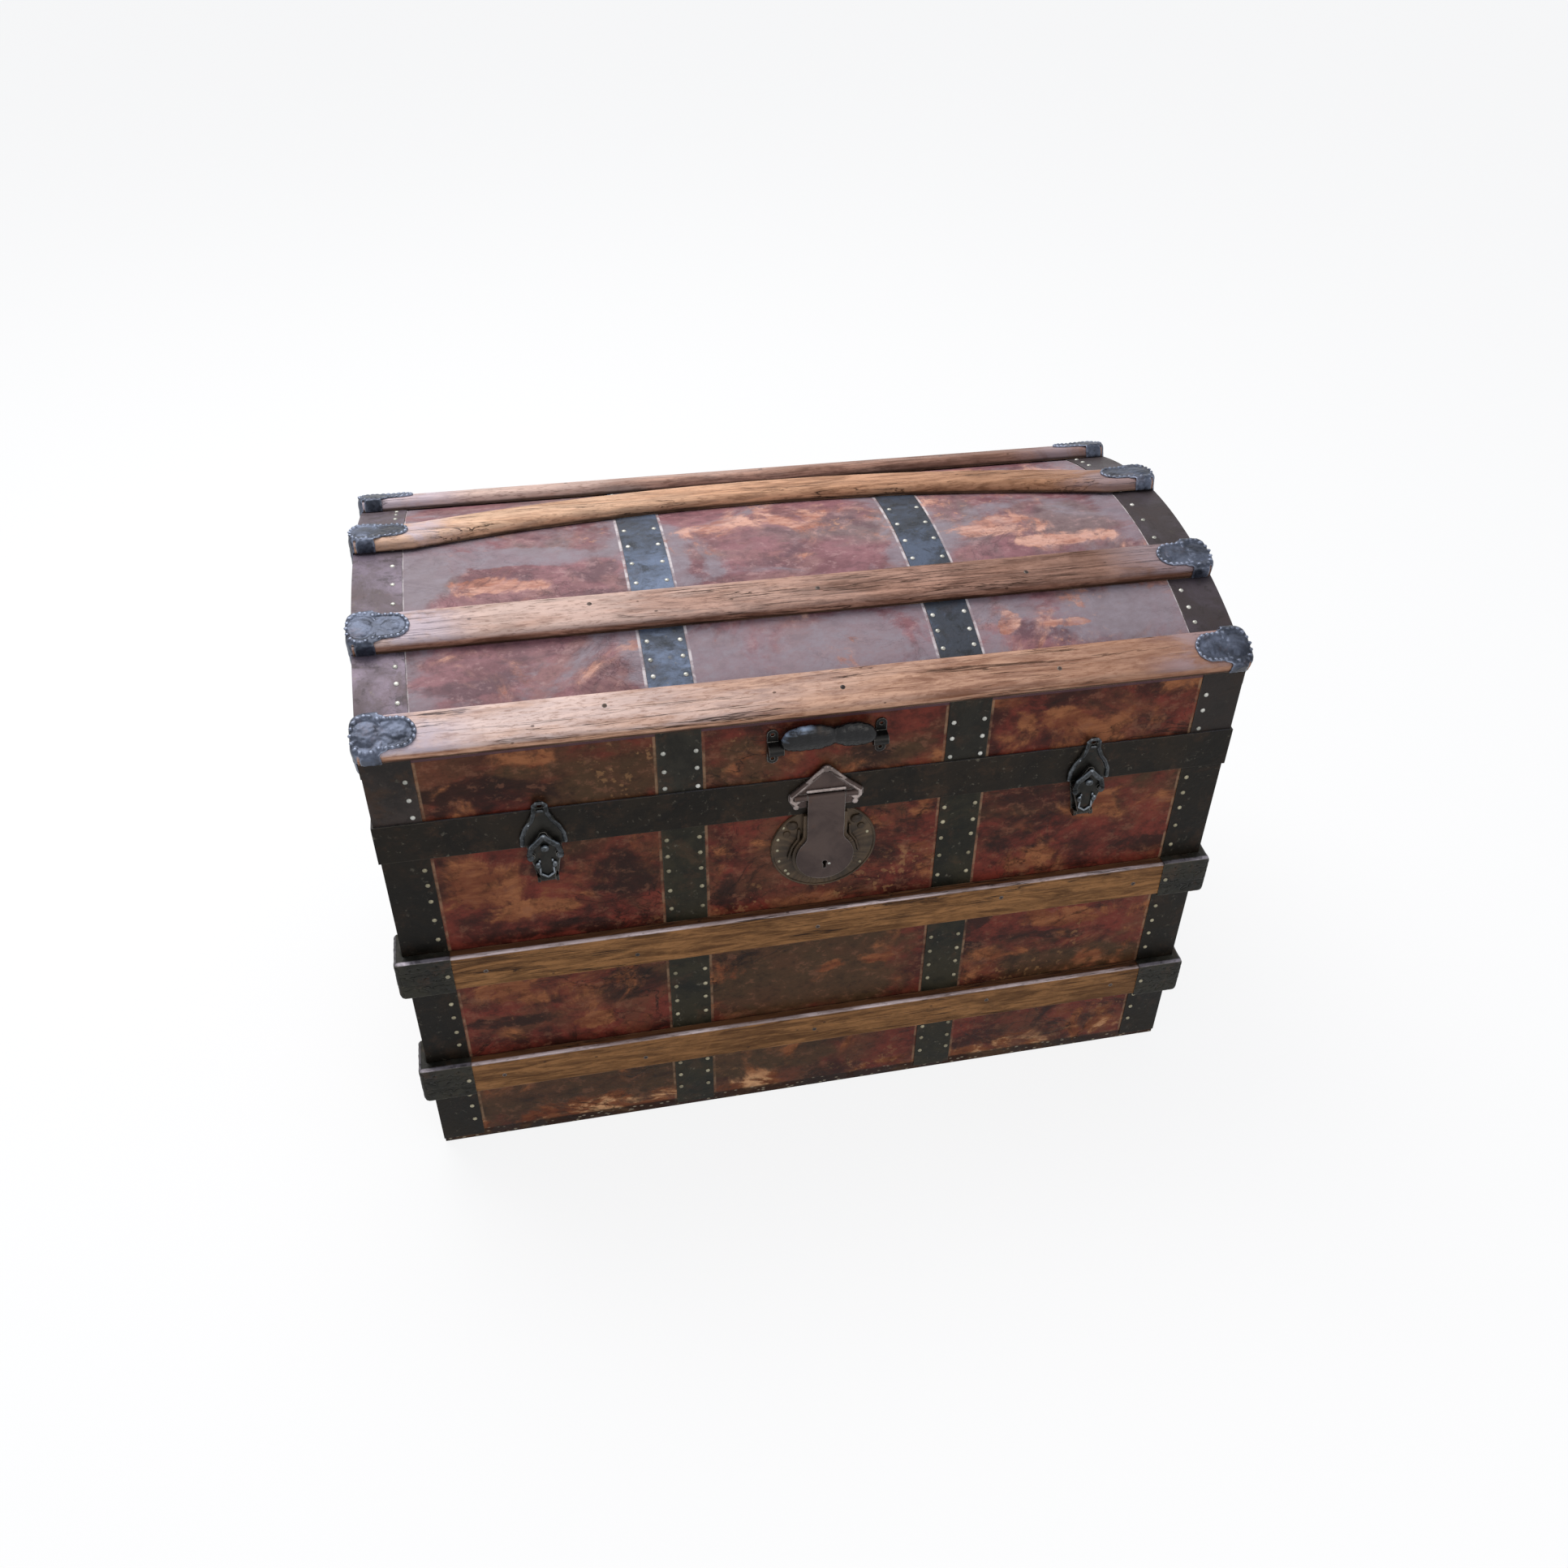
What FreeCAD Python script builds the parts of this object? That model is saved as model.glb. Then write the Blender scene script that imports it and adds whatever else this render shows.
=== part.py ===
"""Curved-top slat trunk: a wooden case with a hinged, low-domed lid, bound in sheet metal.

Frame: +Z up, X along the length, the front faces -Y. The origin is on the floor, in the middle of the base.
Every size is a cell of the sheet; the sums that place a piece are written with the cells' names.
"""
import FreeCAD, Part
import math
import os
import re
import Sketcher

V = FreeCAD.Vector
X_AXIS, Y_AXIS, Z_AXIS = V(1, 0, 0), V(0, 1, 0), V(0, 0, 1)

# Driving sizes in millimetres
SIZES = [
    # Case
    ("length", 860, "case, outside, left end to right end"),
    ("depth", 456, "case, outside, front to back"),
    ("case_height", 432, "floor to the rim of the case"),
    ("wall", 10, "thickness of the front, back and end boards"),
    ("base_board", 12, "thickness of the bottom board"),
    ("sheet", 1, "thickness of the sheet-metal bindings and straps"),
    ("seam", 0.4, "gap between the case's rim and the lid"),
    ("binding", 45, "width of each leg of a corner binding"),
    ("toe", 6, "bare wood below the metal"),
    ("strap", 43, "width of a strap"),
    ("strap_place", 143, "middle of the trunk to the middle of a strap"),
    ("cleat_tall", 22, "tray cleat, height"),
    ("cleat_thick", 14, "tray cleat, thickness"),
    ("cleat_short", 18, "from a cleat's end to the board beside it"),
    ("cleat_height", 336, "floor to a cleat's upper edge"),
    # Slats
    ("slat_wide", 45, "width of every slat"),
    ("slat_thick", 13, "thickness of every slat"),
    ("slat_round", 3, "rounding of a slat's outer edges"),
    ("low_slat", 116, "floor to the middle of the lower slats"),
    ("high_slat", 151, "rim of the case down to the middle of the upper slats"),
    ("overhang", 6, "how far an outer lid slat stands past the top edge, along the curve"),
    ("inner_slat", 97, "crown to the middle of the front inner lid slat, along the curve"),
    ("bowed_slat", 120, "crown to the middle of the bowed lid slat, along the curve"),
    ("bow", 52, "how far the bowed slat's ends lie in front of its middle"),
    # Slat clamps
    ("clamp_wall", 2, "metal over and beside the slat"),
    ("case_clamp_over", 11, "case clamp, how far it stands past the end board"),
    ("case_clamp_along", 46, "case clamp, length on the slat"),
    ("case_clamp_wrap", 33, "case clamp, how far it wraps along the end"),
    ("case_clamp_round", 4, "case clamp, outer rounding"),
    ("groove", 4, "width of the grooves between a case clamp's ribs"),
    ("groove_deep", 0.9, "depth of those grooves"),
    ("groove_place", 9, "slat's middle to a groove's middle"),
    ("lid_clamp_over", 5.5, "lid clamp, how far it stands past the end board"),
    ("lid_clamp_along", 54, "lid clamp, length on the slat"),
    ("lid_clamp_wrap", 24, "lid clamp, how far it turns down over the end"),
    ("lid_clamp_round", 7, "lid clamp, outer rounding seen from the front"),
    ("lid_clamp_bulge", 15, "lid clamp, outer rounding seen from above"),
    ("lid_clamp_neck", 19, "lid clamp, end board to where its round end narrows to a tongue"),
    ("lid_clamp_taper", 6, "lid clamp, length over which it narrows"),
    ("lid_clamp_tongue", 17, "lid clamp, half the width of its tongue"),
    # Lid
    ("skirt", 124, "case rim to the top edge of the lid's front"),
    ("rise", 50, "top edge to the crown of the curved top"),
    ("skin", 8, "thickness of the curved top"),
    ("band", 45, "height of the rim band"),
    ("band_thick", 2, "thickness of the rim band"),
    ("arch_strip", 46, "end binding, width on the curved top"),
    ("arch_drop", 20, "end binding, how far it turns down over the end"),
    # Hinges
    ("hinge_place", 286, "middle hinge to an outer hinge"),
    ("hinge_wide", 78, "length of a hinge"),
    ("leaf_tall", 38, "rim to the far edge of a leaf"),
    ("leaf_thick", 2, "thickness of a leaf"),
    ("knuckle", 4.5, "outer radius of a hinge knuckle"),
    ("pin", 2.5, "radius of a hinge pin"),
    ("pin_head", 3.6, "radius of a hinge pin's heads"),
    ("head_thick", 1.6, "thickness of a pin head"),
    ("play", 0.05, "radial running clearance of every pin"),
    ("gap", 0.4, "clearance between moving faces"),
    # Lock
    ("lock_place", 0, "middle of the trunk to the middle of the lock and lid handle"),
    ("lock_plate", 55, "radius of the round lock plate"),
    ("lock_centre", 47, "rim of the case down to the lock plate's centre"),
    ("lock_thick", 1.5, "thickness of the lock plate"),
    ("boss_over", 3.5, "how far the raised lock housing stands past the hasp all round"),
    ("hasp_rise", 24, "rim of the case up to the hasp's pin"),
    ("hasp_plate", 2, "thickness of the hasp plate"),
    ("hasp_thick", 2.5, "thickness of the hasp"),
    ("hasp_barrel", 3.2, "outer radius of the hasp's knuckles"),
    ("hasp_pin", 1.6, "radius of the hasp's pin"),
    ("neck", 19, "half the width of the hasp's neck"),
    ("bulb", 30, "radius of the hasp's round end"),
    ("bulb_drop", 79, "hasp pin down to the centre of the round end"),
    ("throat", 12, "radius where the neck runs into the round end"),
    ("ear_wide", 13, "length of the hasp plate's own knuckles"),
    ("plate_half", 38, "half the width of the hasp plate"),
    ("plate_top", 31, "hasp pin up to the point of the hasp plate"),
    ("plate_nose", 6, "radius of the hasp plate's point"),
    ("plate_ear", 14, "how far the hasp plate's ears hang below the pin"),
    ("rib", 2.2, "radius of the raised ribs on the hasp plate"),
    ("keyhole", 2.6, "radius of the keyhole"),
    ("keyway", 3, "width of the slot below the keyhole"),
    ("keyway_long", 8, "keyhole's centre down to the end of its slot"),
    ("keyhole_drop", 8, "centre of the round end down to the keyhole"),
    ("channel", 11, "width of the slot that the staple drops into"),
    ("staple_thick", 4, "thickness of the staple"),
    ("staple_deep", 14, "how far the staple stands behind the hasp"),
    ("staple_tall", 16, "height of the staple"),
    ("staple_lift", 4, "centre of the round end up to the staple's lower edge"),
    ("staple_wall", 2, "metal round the staple's eye"),
    ("channel_foot", 2, "clearance below the staple"),
    ("case_half", 30, "half the width of the lock case"),
    ("case_foot", 28, "how far the lock case reaches below the staple"),
    ("case_deep", 14, "depth of the lock case, through the front board"),
    ("bolt_tall", 8, "height of the lock bolt"),
    ("bolt_thick", 3, "thickness of the lock bolt"),
    ("bolt_long", 20, "length of the lock bolt"),
    ("bolt_play", 0.3, "clearance round the lock bolt"),
    # Draw latches
    ("latch_place", 278, "middle of the trunk to the middle of a latch"),
    ("latch_base", 1.5, "thickness of a latch's base plate"),
    ("latch_pin_drop", 40, "rim of the case down to the lever's pivot"),
    ("latch_pin_out", 4.2, "latch base to the lever's pivot"),
    ("latch_pin", 2, "radius of the lever's trunnions"),
    ("latch_barrel", 3, "radius of the lever's barrel"),
    ("latch_foot", 7, "half the width of the lever at its barrel"),
    ("latch_hip", 17, "half the width of the lever at its widest"),
    ("latch_hip_rise", 38, "pivot up to the lever's widest place"),
    ("latch_nose", 4, "half the width of the lever's nose"),
    ("latch_nose_rise", 58, "pivot up to the lever's nose"),
    ("latch_thick", 3.4, "thickness of the lever"),
    ("latch_horn", 3.5, "radius and standing height of the lever's round studs"),
    ("ear_thick", 3, "thickness of the ears that carry the lever"),
    ("ear_round", 4, "radius of an ear round the trunnion"),
    ("keeper_thick", 1.5, "thickness of a keeper's plate"),
    ("keeper_foot", 2.5, "rim of the case up to a keeper's lower edge"),
    ("keeper_half", 22, "half the width of a keeper at its feet"),
    ("keeper_hip", 14, "rim of the case up to a keeper's widest place"),
    ("keeper_neck", 5.5, "half the width of a keeper's neck and the radius of its eye"),
    ("keeper_eye", 51, "rim of the case up to the centre of a keeper's eye"),
    ("keeper_hole", 2.4, "radius of the hole in a keeper's eye"),
    ("keeper_rim", 1.9, "radius of a keeper's raised rims"),
    # Handles
    ("lid_handle_rise", 89, "rim of the case up to the lid handle's pivots"),
    ("lid_handle_half", 44, "middle of the lid handle to the face of a cap"),
    ("lid_handle_out", 8, "lid's front to the lid handle's pivots"),
    ("lid_grip_arch", 8, "how far the lid grip arches up"),
    ("lid_grip_stand", 3, "how far the lid grip bows outwards"),
    ("lid_grip_tall", 12.5, "half the height of the lid grip at its middle"),
    ("lid_grip_thick", 5.5, "half the thickness of the lid grip at its middle"),
    ("lid_cap_long", 15, "length of a lid handle cap"),
    ("lid_cap_half", 14.5, "pivot to a lid handle cap's screw ears"),
    ("lid_cap_ear", 5.5, "radius of a lid handle cap's screw ears"),
    ("end_handle_height", 336, "floor to the end handles' pivots"),
    ("end_handle_half", 68, "middle of an end handle to the face of a cap"),
    ("end_handle_out", 9, "end board to the end handles' pivots"),
    ("end_grip_arch", -34, "how far an end grip hangs below its pivots"),
    ("end_grip_stand", 15, "how far an end grip bows outwards"),
    ("end_grip_tall", 14, "half the height of an end grip at its middle"),
    ("end_grip_thick", 5, "half the thickness of an end grip at its middle"),
    ("end_cap_long", 22, "length of an end handle cap"),
    ("end_cap_half", 18, "pivot to an end handle cap's screw ears"),
    ("end_cap_ear", 7, "radius of an end handle cap's screw ears"),
    ("cap_plate", 2, "thickness of a cap's plate"),
    ("cap_wall", 3, "metal round a handle's pivot"),
    ("pivot", 3, "radius of a handle's pivots"),
    ("pivot_long", 7, "length of a handle's pivots"),
    ("ear_hole", 2, "radius of a screw hole"),
    ("over", 5, "how far a cutting shape runs past what it cuts"),
]

# A grip's places along its half length, and how full it is there, as shares of the sizes at its middle
GRIP_SHARES = [(0, 1.0), (0.2, 1.0), (0.4, 0.94), (0.6, 0.81), (0.8, 0.62), (1, 0.5)]
# One quarter of a grip's section, from its flat side to its edge, as shares of half its thickness and half its height
SECTION_SHARES = [(1, 0.45), (0.75, 0.82), (0.3, 1)]

doc = FreeCAD.newDocument("Trunk")
sheet = doc.addObject("Spreadsheet::Sheet", "Sizes")
for row, (alias, value, note) in enumerate(SIZES, 1):
    sheet.set(f"A{row}", alias)
    sheet.set(f"B{row}", str(value))
    sheet.set(f"C{row}", note)
    sheet.setAlias(f"B{row}", alias)
doc.recompute()
ALIASES = {alias for alias, value, note in SIZES}

# Sums used by several pieces
ARCH = "((depth ^ 2 / 4 + rise ^ 2) / (2 * rise))"
ARCH_Z = f"(case_height + skirt + rise - {ARCH})"
LID_Z = "(case_height + seam)"
FACE = "(depth / 2)"
END = "(length / 2)"
BAND_FACE = f"({FACE} + sheet + band_thick)"
EDGE_ANGLE = f"(asin({FACE} / {ARCH}) / 1 deg)"
OUTER_ANGLE = f"({EDGE_ANGLE} - (slat_wide / 2 - overhang) / {ARCH} * 180 / pi)"
INNER_ANGLE = f"(inner_slat / {ARCH} * 180 / pi)"
BOWED_ANGLE = f"-((bowed_slat - bow / 2) / {ARCH} * 180 / pi)"
HINGE_Y = f"({FACE} + knuckle + gap)"
HASP_Z = "(case_height + hasp_rise)"
HASP_Y = f"({BAND_FACE} + hasp_barrel + gap)"
HASP_BACK = f"({HASP_Y} + hasp_barrel - hasp_thick)"
STAPLE_Z = f"({HASP_Z} - bulb_drop + staple_lift)"
STAPLE_BACK = f"(staple_deep - {HASP_BACK})"
KEY_Z = f"({HASP_Z} - bulb_drop - keyhole_drop)"
LATCH_Y = f"({FACE} + latch_base + latch_pin_out)"
LATCH_Z = "(case_height - latch_pin_drop)"


def bound(words):
    """The same sum with the sheet's name before each of its cells."""
    return re.sub(r"[a-z_]+", lambda word: f"Sizes.{word[0]}" if word[0] in ALIASES else word[0], words)


def bind(thing, place, words):
    """Tie one property of an object to a sum of sizes."""
    thing.setExpression(place, bound(words))


def amount(words):
    """The sum's value now, for a first drawing or for a shape that is set directly."""
    return float(sheet.evalExpression(bound(words)))


def block(name, x, y, z):
    """A box between two sums on each axis."""
    box = doc.addObject("Part::Box", name)
    for axis, side, (low, high) in zip("xyz", ("Length", "Width", "Height"), (x, y, z)):
        bind(box, side, f"({high}) - ({low})")
        bind(box, f"Placement.Base.{axis}", low)
    return box


def rod(name, along, radius, start, end, base):
    """A cylinder along an axis, from start to end on it; base gives its two other coordinates."""
    cylinder = doc.addObject("Part::Cylinder", name)
    turn = {"x": (Y_AXIS, 90), "y": (X_AXIS, -90), "z": (Z_AXIS, 0)}[along]
    cylinder.Placement = FreeCAD.Placement(V(0, 0, 0), FreeCAD.Rotation(*turn))
    bind(cylinder, "Radius", radius)
    bind(cylinder, "Height", f"({end}) - ({start})")
    places = iter(base)
    for axis in "xyz":
        bind(cylinder, f"Placement.Base.{axis}", start if axis == along else next(places))
    return cylinder


def joined(name, *pieces):
    """Several shapes that touch, as one solid."""
    fusion = doc.addObject("Part::MultiFuse", name)
    fusion.Shapes = list(pieces)
    fusion.Refine = True
    return fusion


def without(name, piece, *tools):
    """A shape with others taken out of it."""
    cut = doc.addObject("Part::Cut", name)
    cut.Base = piece
    cut.Tool = tools[0] if len(tools) == 1 else group(f"{name}_tools", *tools)
    return cut


def shared(name, first, second):
    """What two shapes have in common."""
    common = doc.addObject("Part::Common", name)
    common.Base = first
    common.Tool = second
    return common


def group(name, *pieces):
    """Separate solids kept as one node."""
    compound = doc.addObject("Part::Compound", name)
    compound.Links = list(pieces)
    return compound


def mirrored(name, piece, normal):
    """The same piece on the other side of the trunk's middle."""
    mirror = doc.addObject("Part::Mirroring", name)
    mirror.Source = piece
    mirror.Normal = normal
    return mirror


def lay(piece, turn_axis, turn, x, y, z):
    """Turn a piece about its own origin by an angle in degrees, and put that origin at a place."""
    backwards = amount(turn) < 0
    axis_used = turn_axis * -1 if backwards else turn_axis
    piece.Placement = FreeCAD.Placement(V(0, 0, 0), FreeCAD.Rotation(axis_used, abs(amount(turn))))
    bind(piece, "Placement.Rotation.Angle", f"-({turn})" if backwards else turn)
    for axis, words in zip("xyz", (x, y, z)):
        bind(piece, f"Placement.Base.{axis}", words)
    return piece


def arc_between(start, end, radius, side):
    """An arc from start to end that turns to the left (side 1) or to the right (side -1)."""
    chord = end - start
    reach = max(radius ** 2 - chord.Length ** 2 / 4, 0) ** 0.5
    centre = (start + end) * 0.5 + V(-chord.y, chord.x, 0).normalize() * side * reach
    first, last = (start, end) if side > 0 else (end, start)
    turn_from = math.atan2(first.y - centre.y, first.x - centre.x)
    turn_to = math.atan2(last.y - centre.y, last.x - centre.x)
    return Part.ArcOfCircle(Part.Circle(centre, Z_AXIS, radius), turn_from, turn_to)


def draw(sketch, points, arcs):
    """Draw a closed outline in a sketch.

    points are pairs of sums; arcs names, for the edge after a point, its radius and the side that it turns to.
    """
    places = [V(amount(across), amount(up), 0) for across, up in points]
    for number, start in enumerate(places):
        end = places[(number + 1) % len(places)]
        if number in arcs:
            radius, side = arcs[number]
            sketch.addGeometry(arc_between(start, end, amount(radius), side), False)
        else:
            sketch.addGeometry(Part.LineSegment(start, end), False)
    # An arc is stored anticlockwise, so a clockwise one starts at its far end
    first = {number: 2 if number in arcs and arcs[number][1] < 0 else 1 for number in range(len(places))}
    for number in range(len(places)):
        following = (number + 1) % len(places)
        sketch.addConstraint(Sketcher.Constraint("Coincident", number, 3 - first[number], following, first[following]))
    for number, (place, words) in enumerate(zip(places, points)):
        for kind, value, sum_words in (("DistanceX", place.x, words[0]), ("DistanceY", place.y, words[1])):
            index = sketch.addConstraint(Sketcher.Constraint(kind, -1, 1, number, first[number], value))
            bind(sketch, f"Constraints[{index}]", sum_words)
        if number in arcs:
            index = sketch.addConstraint(Sketcher.Constraint("Radius", number, amount(arcs[number][0])))
            bind(sketch, f"Constraints[{index}]", arcs[number][0])


def profile(name, plane, points, arcs, depth_words, both_ways=False):
    """A body padded from an outline."""
    body = doc.addObject("PartDesign::Body", name)
    sketch = body.newObject("Sketcher::SketchObject", f"{name}_sketch")
    origin_plane = [item for item in body.Origin.OriginFeatures if item.Role == f"{plane}_Plane"][0]
    sketch.AttachmentSupport = [(origin_plane, "")]
    sketch.MapMode = "FlatFace"
    draw(sketch, points, arcs)
    pad = body.newObject("PartDesign::Pad", f"{name}_pad")
    pad.Profile = sketch
    pad.SideType = "Symmetric" if both_ways else "One side"
    bind(pad, "Length", depth_words)
    sketch.Visibility = False
    return body


NODES = []


def node(piece, name):
    """Give a finished sub-part its own label, which names its file."""
    piece.Label = name
    NODES.append(piece)
    return piece


# Case boards
def case_boards():
    above = ("base_board", "case_height")
    inner = f"({FACE} - wall)"
    node(block("BottomBoard", (f"-{END}", END), (f"-{FACE}", FACE), ("0", "base_board")), "bottom_board")
    front = block("FrontPlank", (f"-{END}", END), (f"-{FACE}", f"-{inner}"), above)
    node(without("FrontBoard", front, lock_case_space("FrontMortise")), "front_board")
    node(block("BackBoard", (f"-{END}", END), (inner, FACE), above), "back_board")
    left = node(block("LeftEnd", (f"-{END}", f"wall - {END}"), (f"-{inner}", inner), above), "end_board_left")
    node(mirrored("RightEnd", left, X_AXIS), "end_board_right")
    cleat_y = f"({inner} - cleat_short)"
    cleat = block("LeftCleat", (f"wall - {END}", f"wall + cleat_thick - {END}"), (f"-{cleat_y}", cleat_y),
                  ("cleat_height - cleat_tall", "cleat_height"))
    node(cleat, "tray_cleat_left")
    node(mirrored("RightCleat", cleat, X_AXIS), "tray_cleat_right")


def lock_case_space(name):
    """The block in the front board that the lock case fills, open at the front and at the rim."""
    low = f"{STAPLE_Z} - case_foot"
    return block(name, ("lock_place - case_half", "lock_place + case_half"),
                 (f"-{FACE}", f"case_deep - {FACE}"), (low, "case_height"))


# Sheet metal on the case
def corner_binding(name, bottom, top):
    """An angle strip on the front left corner."""
    outer = block(f"{name}Outer", (f"-{END} - sheet", f"binding - {END} - sheet"),
                  (f"-{FACE} - sheet", f"binding - {FACE} - sheet"), (bottom, top))
    inner = block(f"{name}Inner", (f"-{END}", f"binding - {END} + over"),
                  (f"-{FACE}", f"binding - {FACE} + over"), (f"{bottom} - over", f"{top} + over"))
    return without(name, outer, inner)


def case_metal():
    front = node(corner_binding("CaseCorner", "toe", "case_height"), "corner_binding_front_left")
    right = node(mirrored("CaseCornerRight", front, X_AXIS), "corner_binding_front_right")
    node(mirrored("CaseCornerBack", front, Y_AXIS), "corner_binding_back_left")
    node(mirrored("CaseCornerFar", right, Y_AXIS), "corner_binding_back_right")
    strap = block("CaseStrap", ("-strap_place - strap / 2", "strap / 2 - strap_place"),
                  (f"-{FACE} - sheet", f"-{FACE}"), ("toe", "case_height"))
    node(strap, "strap_front_left")
    right = node(mirrored("CaseStrapRight", strap, X_AXIS), "strap_front_right")
    node(mirrored("CaseStrapBack", strap, Y_AXIS), "strap_back_left")
    node(mirrored("CaseStrapFar", right, Y_AXIS), "strap_back_right")


# Slats, drawn flat: X along, Y across, Z out of the trunk
def slat(name):
    """A straight slat with its two outer edges rounded."""
    half = "slat_wide / 2"
    points = [(f"-{half}", "0"), (half, "0"), (half, "slat_thick - slat_round"), (f"{half} - slat_round", "slat_thick"),
              (f"slat_round - {half}", "slat_thick"), (f"-{half}", "slat_thick - slat_round")]
    return profile(name, "YZ", points, {2: ("slat_round", 1), 4: ("slat_round", 1)}, "length", True)


def bowed_slat(name):
    """A slat nailed on in a slight curve, straight only where its ends lie under the clamps."""
    turn = f"({END} - lid_clamp_along)"
    curve = f"(({turn} ^ 2 + bow ^ 2) / (2 * bow))"
    front, back = "-slat_wide / 2 - bow / 2", "slat_wide / 2 - bow / 2"
    points = [(f"-{END}", front), (f"-{turn}", front), (turn, front), (END, front),
              (END, back), (turn, back), (f"-{turn}", back), (f"-{END}", back)]
    return profile(name, "XY", points, {1: (curve, -1), 5: (curve, 1)}, "slat_thick")


def on_arch(piece, angle, across="0"):
    """Lay a piece drawn flat on the metal over the curved top; a positive angle is towards the front."""
    out = f"({ARCH} + sheet)"
    return lay(piece, X_AXIS, angle, "0", f"({across}) * cos({angle}) - {out} * sin({angle})",
               f"{ARCH_Z} + ({across}) * sin({angle}) + {out} * cos({angle})")


def slats():
    for level, height in (("lower", "low_slat"), ("upper", "case_height - high_slat")):
        front = lay(slat(f"FrontSlat_{level}"), X_AXIS, "90", "0", f"-{FACE} - sheet", height)
        back = lay(slat(f"BackSlat_{level}"), X_AXIS, "-90", "0", f"{FACE} + sheet", height)
        node(front, f"slat_front_{level}")
        node(back, f"slat_back_{level}")
    node(on_arch(slat("LidSlatFront"), OUTER_ANGLE), "lid_slat_front")
    node(on_arch(slat("LidSlatInner"), INNER_ANGLE), "lid_slat_upper_front")
    node(on_arch(bowed_slat("LidSlatBowed"), BOWED_ANGLE), "lid_slat_upper_back")
    node(on_arch(slat("LidSlatBack"), f"-{OUTER_ANGLE}"), "lid_slat_back")


# Slat clamps, drawn flat at a slat's left end, which is the origin
CLAMP_TOP = "(slat_thick + clamp_wall)"
CLAMP_HALF = "(slat_wide / 2 + clamp_wall)"


def clamp(name, over, along, wrap, side_round, plan, plan_arcs, seat):
    """A cap over the slat's end that turns down over the end board.

    plan is its outline seen from above; seat is the metal under its turned part.
    """
    top, half = CLAMP_TOP, CLAMP_HALF
    side = [(f"-{over}", f"-{wrap}"), (f"-({seat})", f"-{wrap}"), (f"-({seat})", "0"), (along, "0"),
            (along, f"{top} - clamp_wall"), (f"{along} - clamp_wall", top), (f"{side_round} - {over}", top),
            (f"-{over}", f"{top} - {side_round}")]
    seen_side = profile(f"{name}Side", "XZ", side, {4: ("clamp_wall", 1), 6: (side_round, 1)}, f"2 * {half}", True)
    seen_above = profile(f"{name}Plan", "XY", plan, plan_arcs, f"{top} + {wrap}")
    bind(seen_above, "Placement.Base.z", f"-{wrap}")
    body = shared(f"{name}Form", seen_side, seen_above)
    slat_room = block(f"{name}SlatRoom", ("0", f"{along} + over"), ("-slat_wide / 2", "slat_wide / 2"),
                      ("-over", "slat_thick"))
    return body, slat_room


def case_clamp(name):
    """A hollow wrapped cap with two grooves, which leave three ribs."""
    over, along, half = "case_clamp_over", "case_clamp_along", CLAMP_HALF
    plan = [(f"clamp_wall - {over}", f"-{half}"), (along, f"-{half}"), (along, half), (f"clamp_wall - {over}", half),
            (f"-{over}", f"{half} - clamp_wall"), (f"-{over}", f"clamp_wall - {half}")]
    body, slat_room = clamp(name, over, along, "case_clamp_wrap", "case_clamp_round", plan,
                            {3: ("clamp_wall", 1), 5: ("clamp_wall", 1)}, "sheet")
    hollow = block(f"{name}Hollow", ("clamp_wall - case_clamp_over", "0"), ("-slat_wide / 2", "slat_wide / 2"),
                   ("clamp_wall - case_clamp_wrap", "slat_thick"))
    tools = [slat_room, hollow]
    for side, sign in (("Low", "-"), ("High", "")):
        middle = f"{sign}groove_place"
        across = (f"{middle} - groove / 2", f"{middle} + groove / 2")
        tools.append(block(f"{name}Front{side}", ("-case_clamp_over - over", "case_clamp_along + over"), across,
                           (f"{CLAMP_TOP} - groove_deep", f"{CLAMP_TOP} + over")))
        tools.append(block(f"{name}End{side}", ("-case_clamp_over - over", "groove_deep - case_clamp_over"), across,
                           ("-case_clamp_wrap - over", f"{CLAMP_TOP} + over")))
    return without(name, body, *tools)


def lid_clamp(name):
    """A cast cap with a round outer end, turned down over the end of the lid, and a tongue on the slat."""
    over, along, half = "lid_clamp_over", "lid_clamp_along", CLAMP_HALF
    bulge, neck, tongue = "lid_clamp_bulge", "lid_clamp_neck", "lid_clamp_tongue"
    plan = [(f"{bulge} - {over}", f"-{half}"), (neck, f"-{half}"), (f"{neck} + lid_clamp_taper", f"-{tongue}"),
            (f"{along} - {tongue}", f"-{tongue}"), (along, "0"), (f"{along} - {tongue}", tongue),
            (f"{neck} + lid_clamp_taper", tongue), (neck, half), (f"{bulge} - {over}", half),
            (f"-{over}", f"{half} - {bulge}"), (f"-{over}", f"{bulge} - {half}")]
    body, slat_room = clamp(name, over, along, "lid_clamp_wrap", "lid_clamp_round", plan,
                            {3: (tongue, 1), 4: (tongue, 1), 8: (bulge, 1), 10: (bulge, 1)}, "2 * sheet")
    return without(name, body, slat_room)


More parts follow.
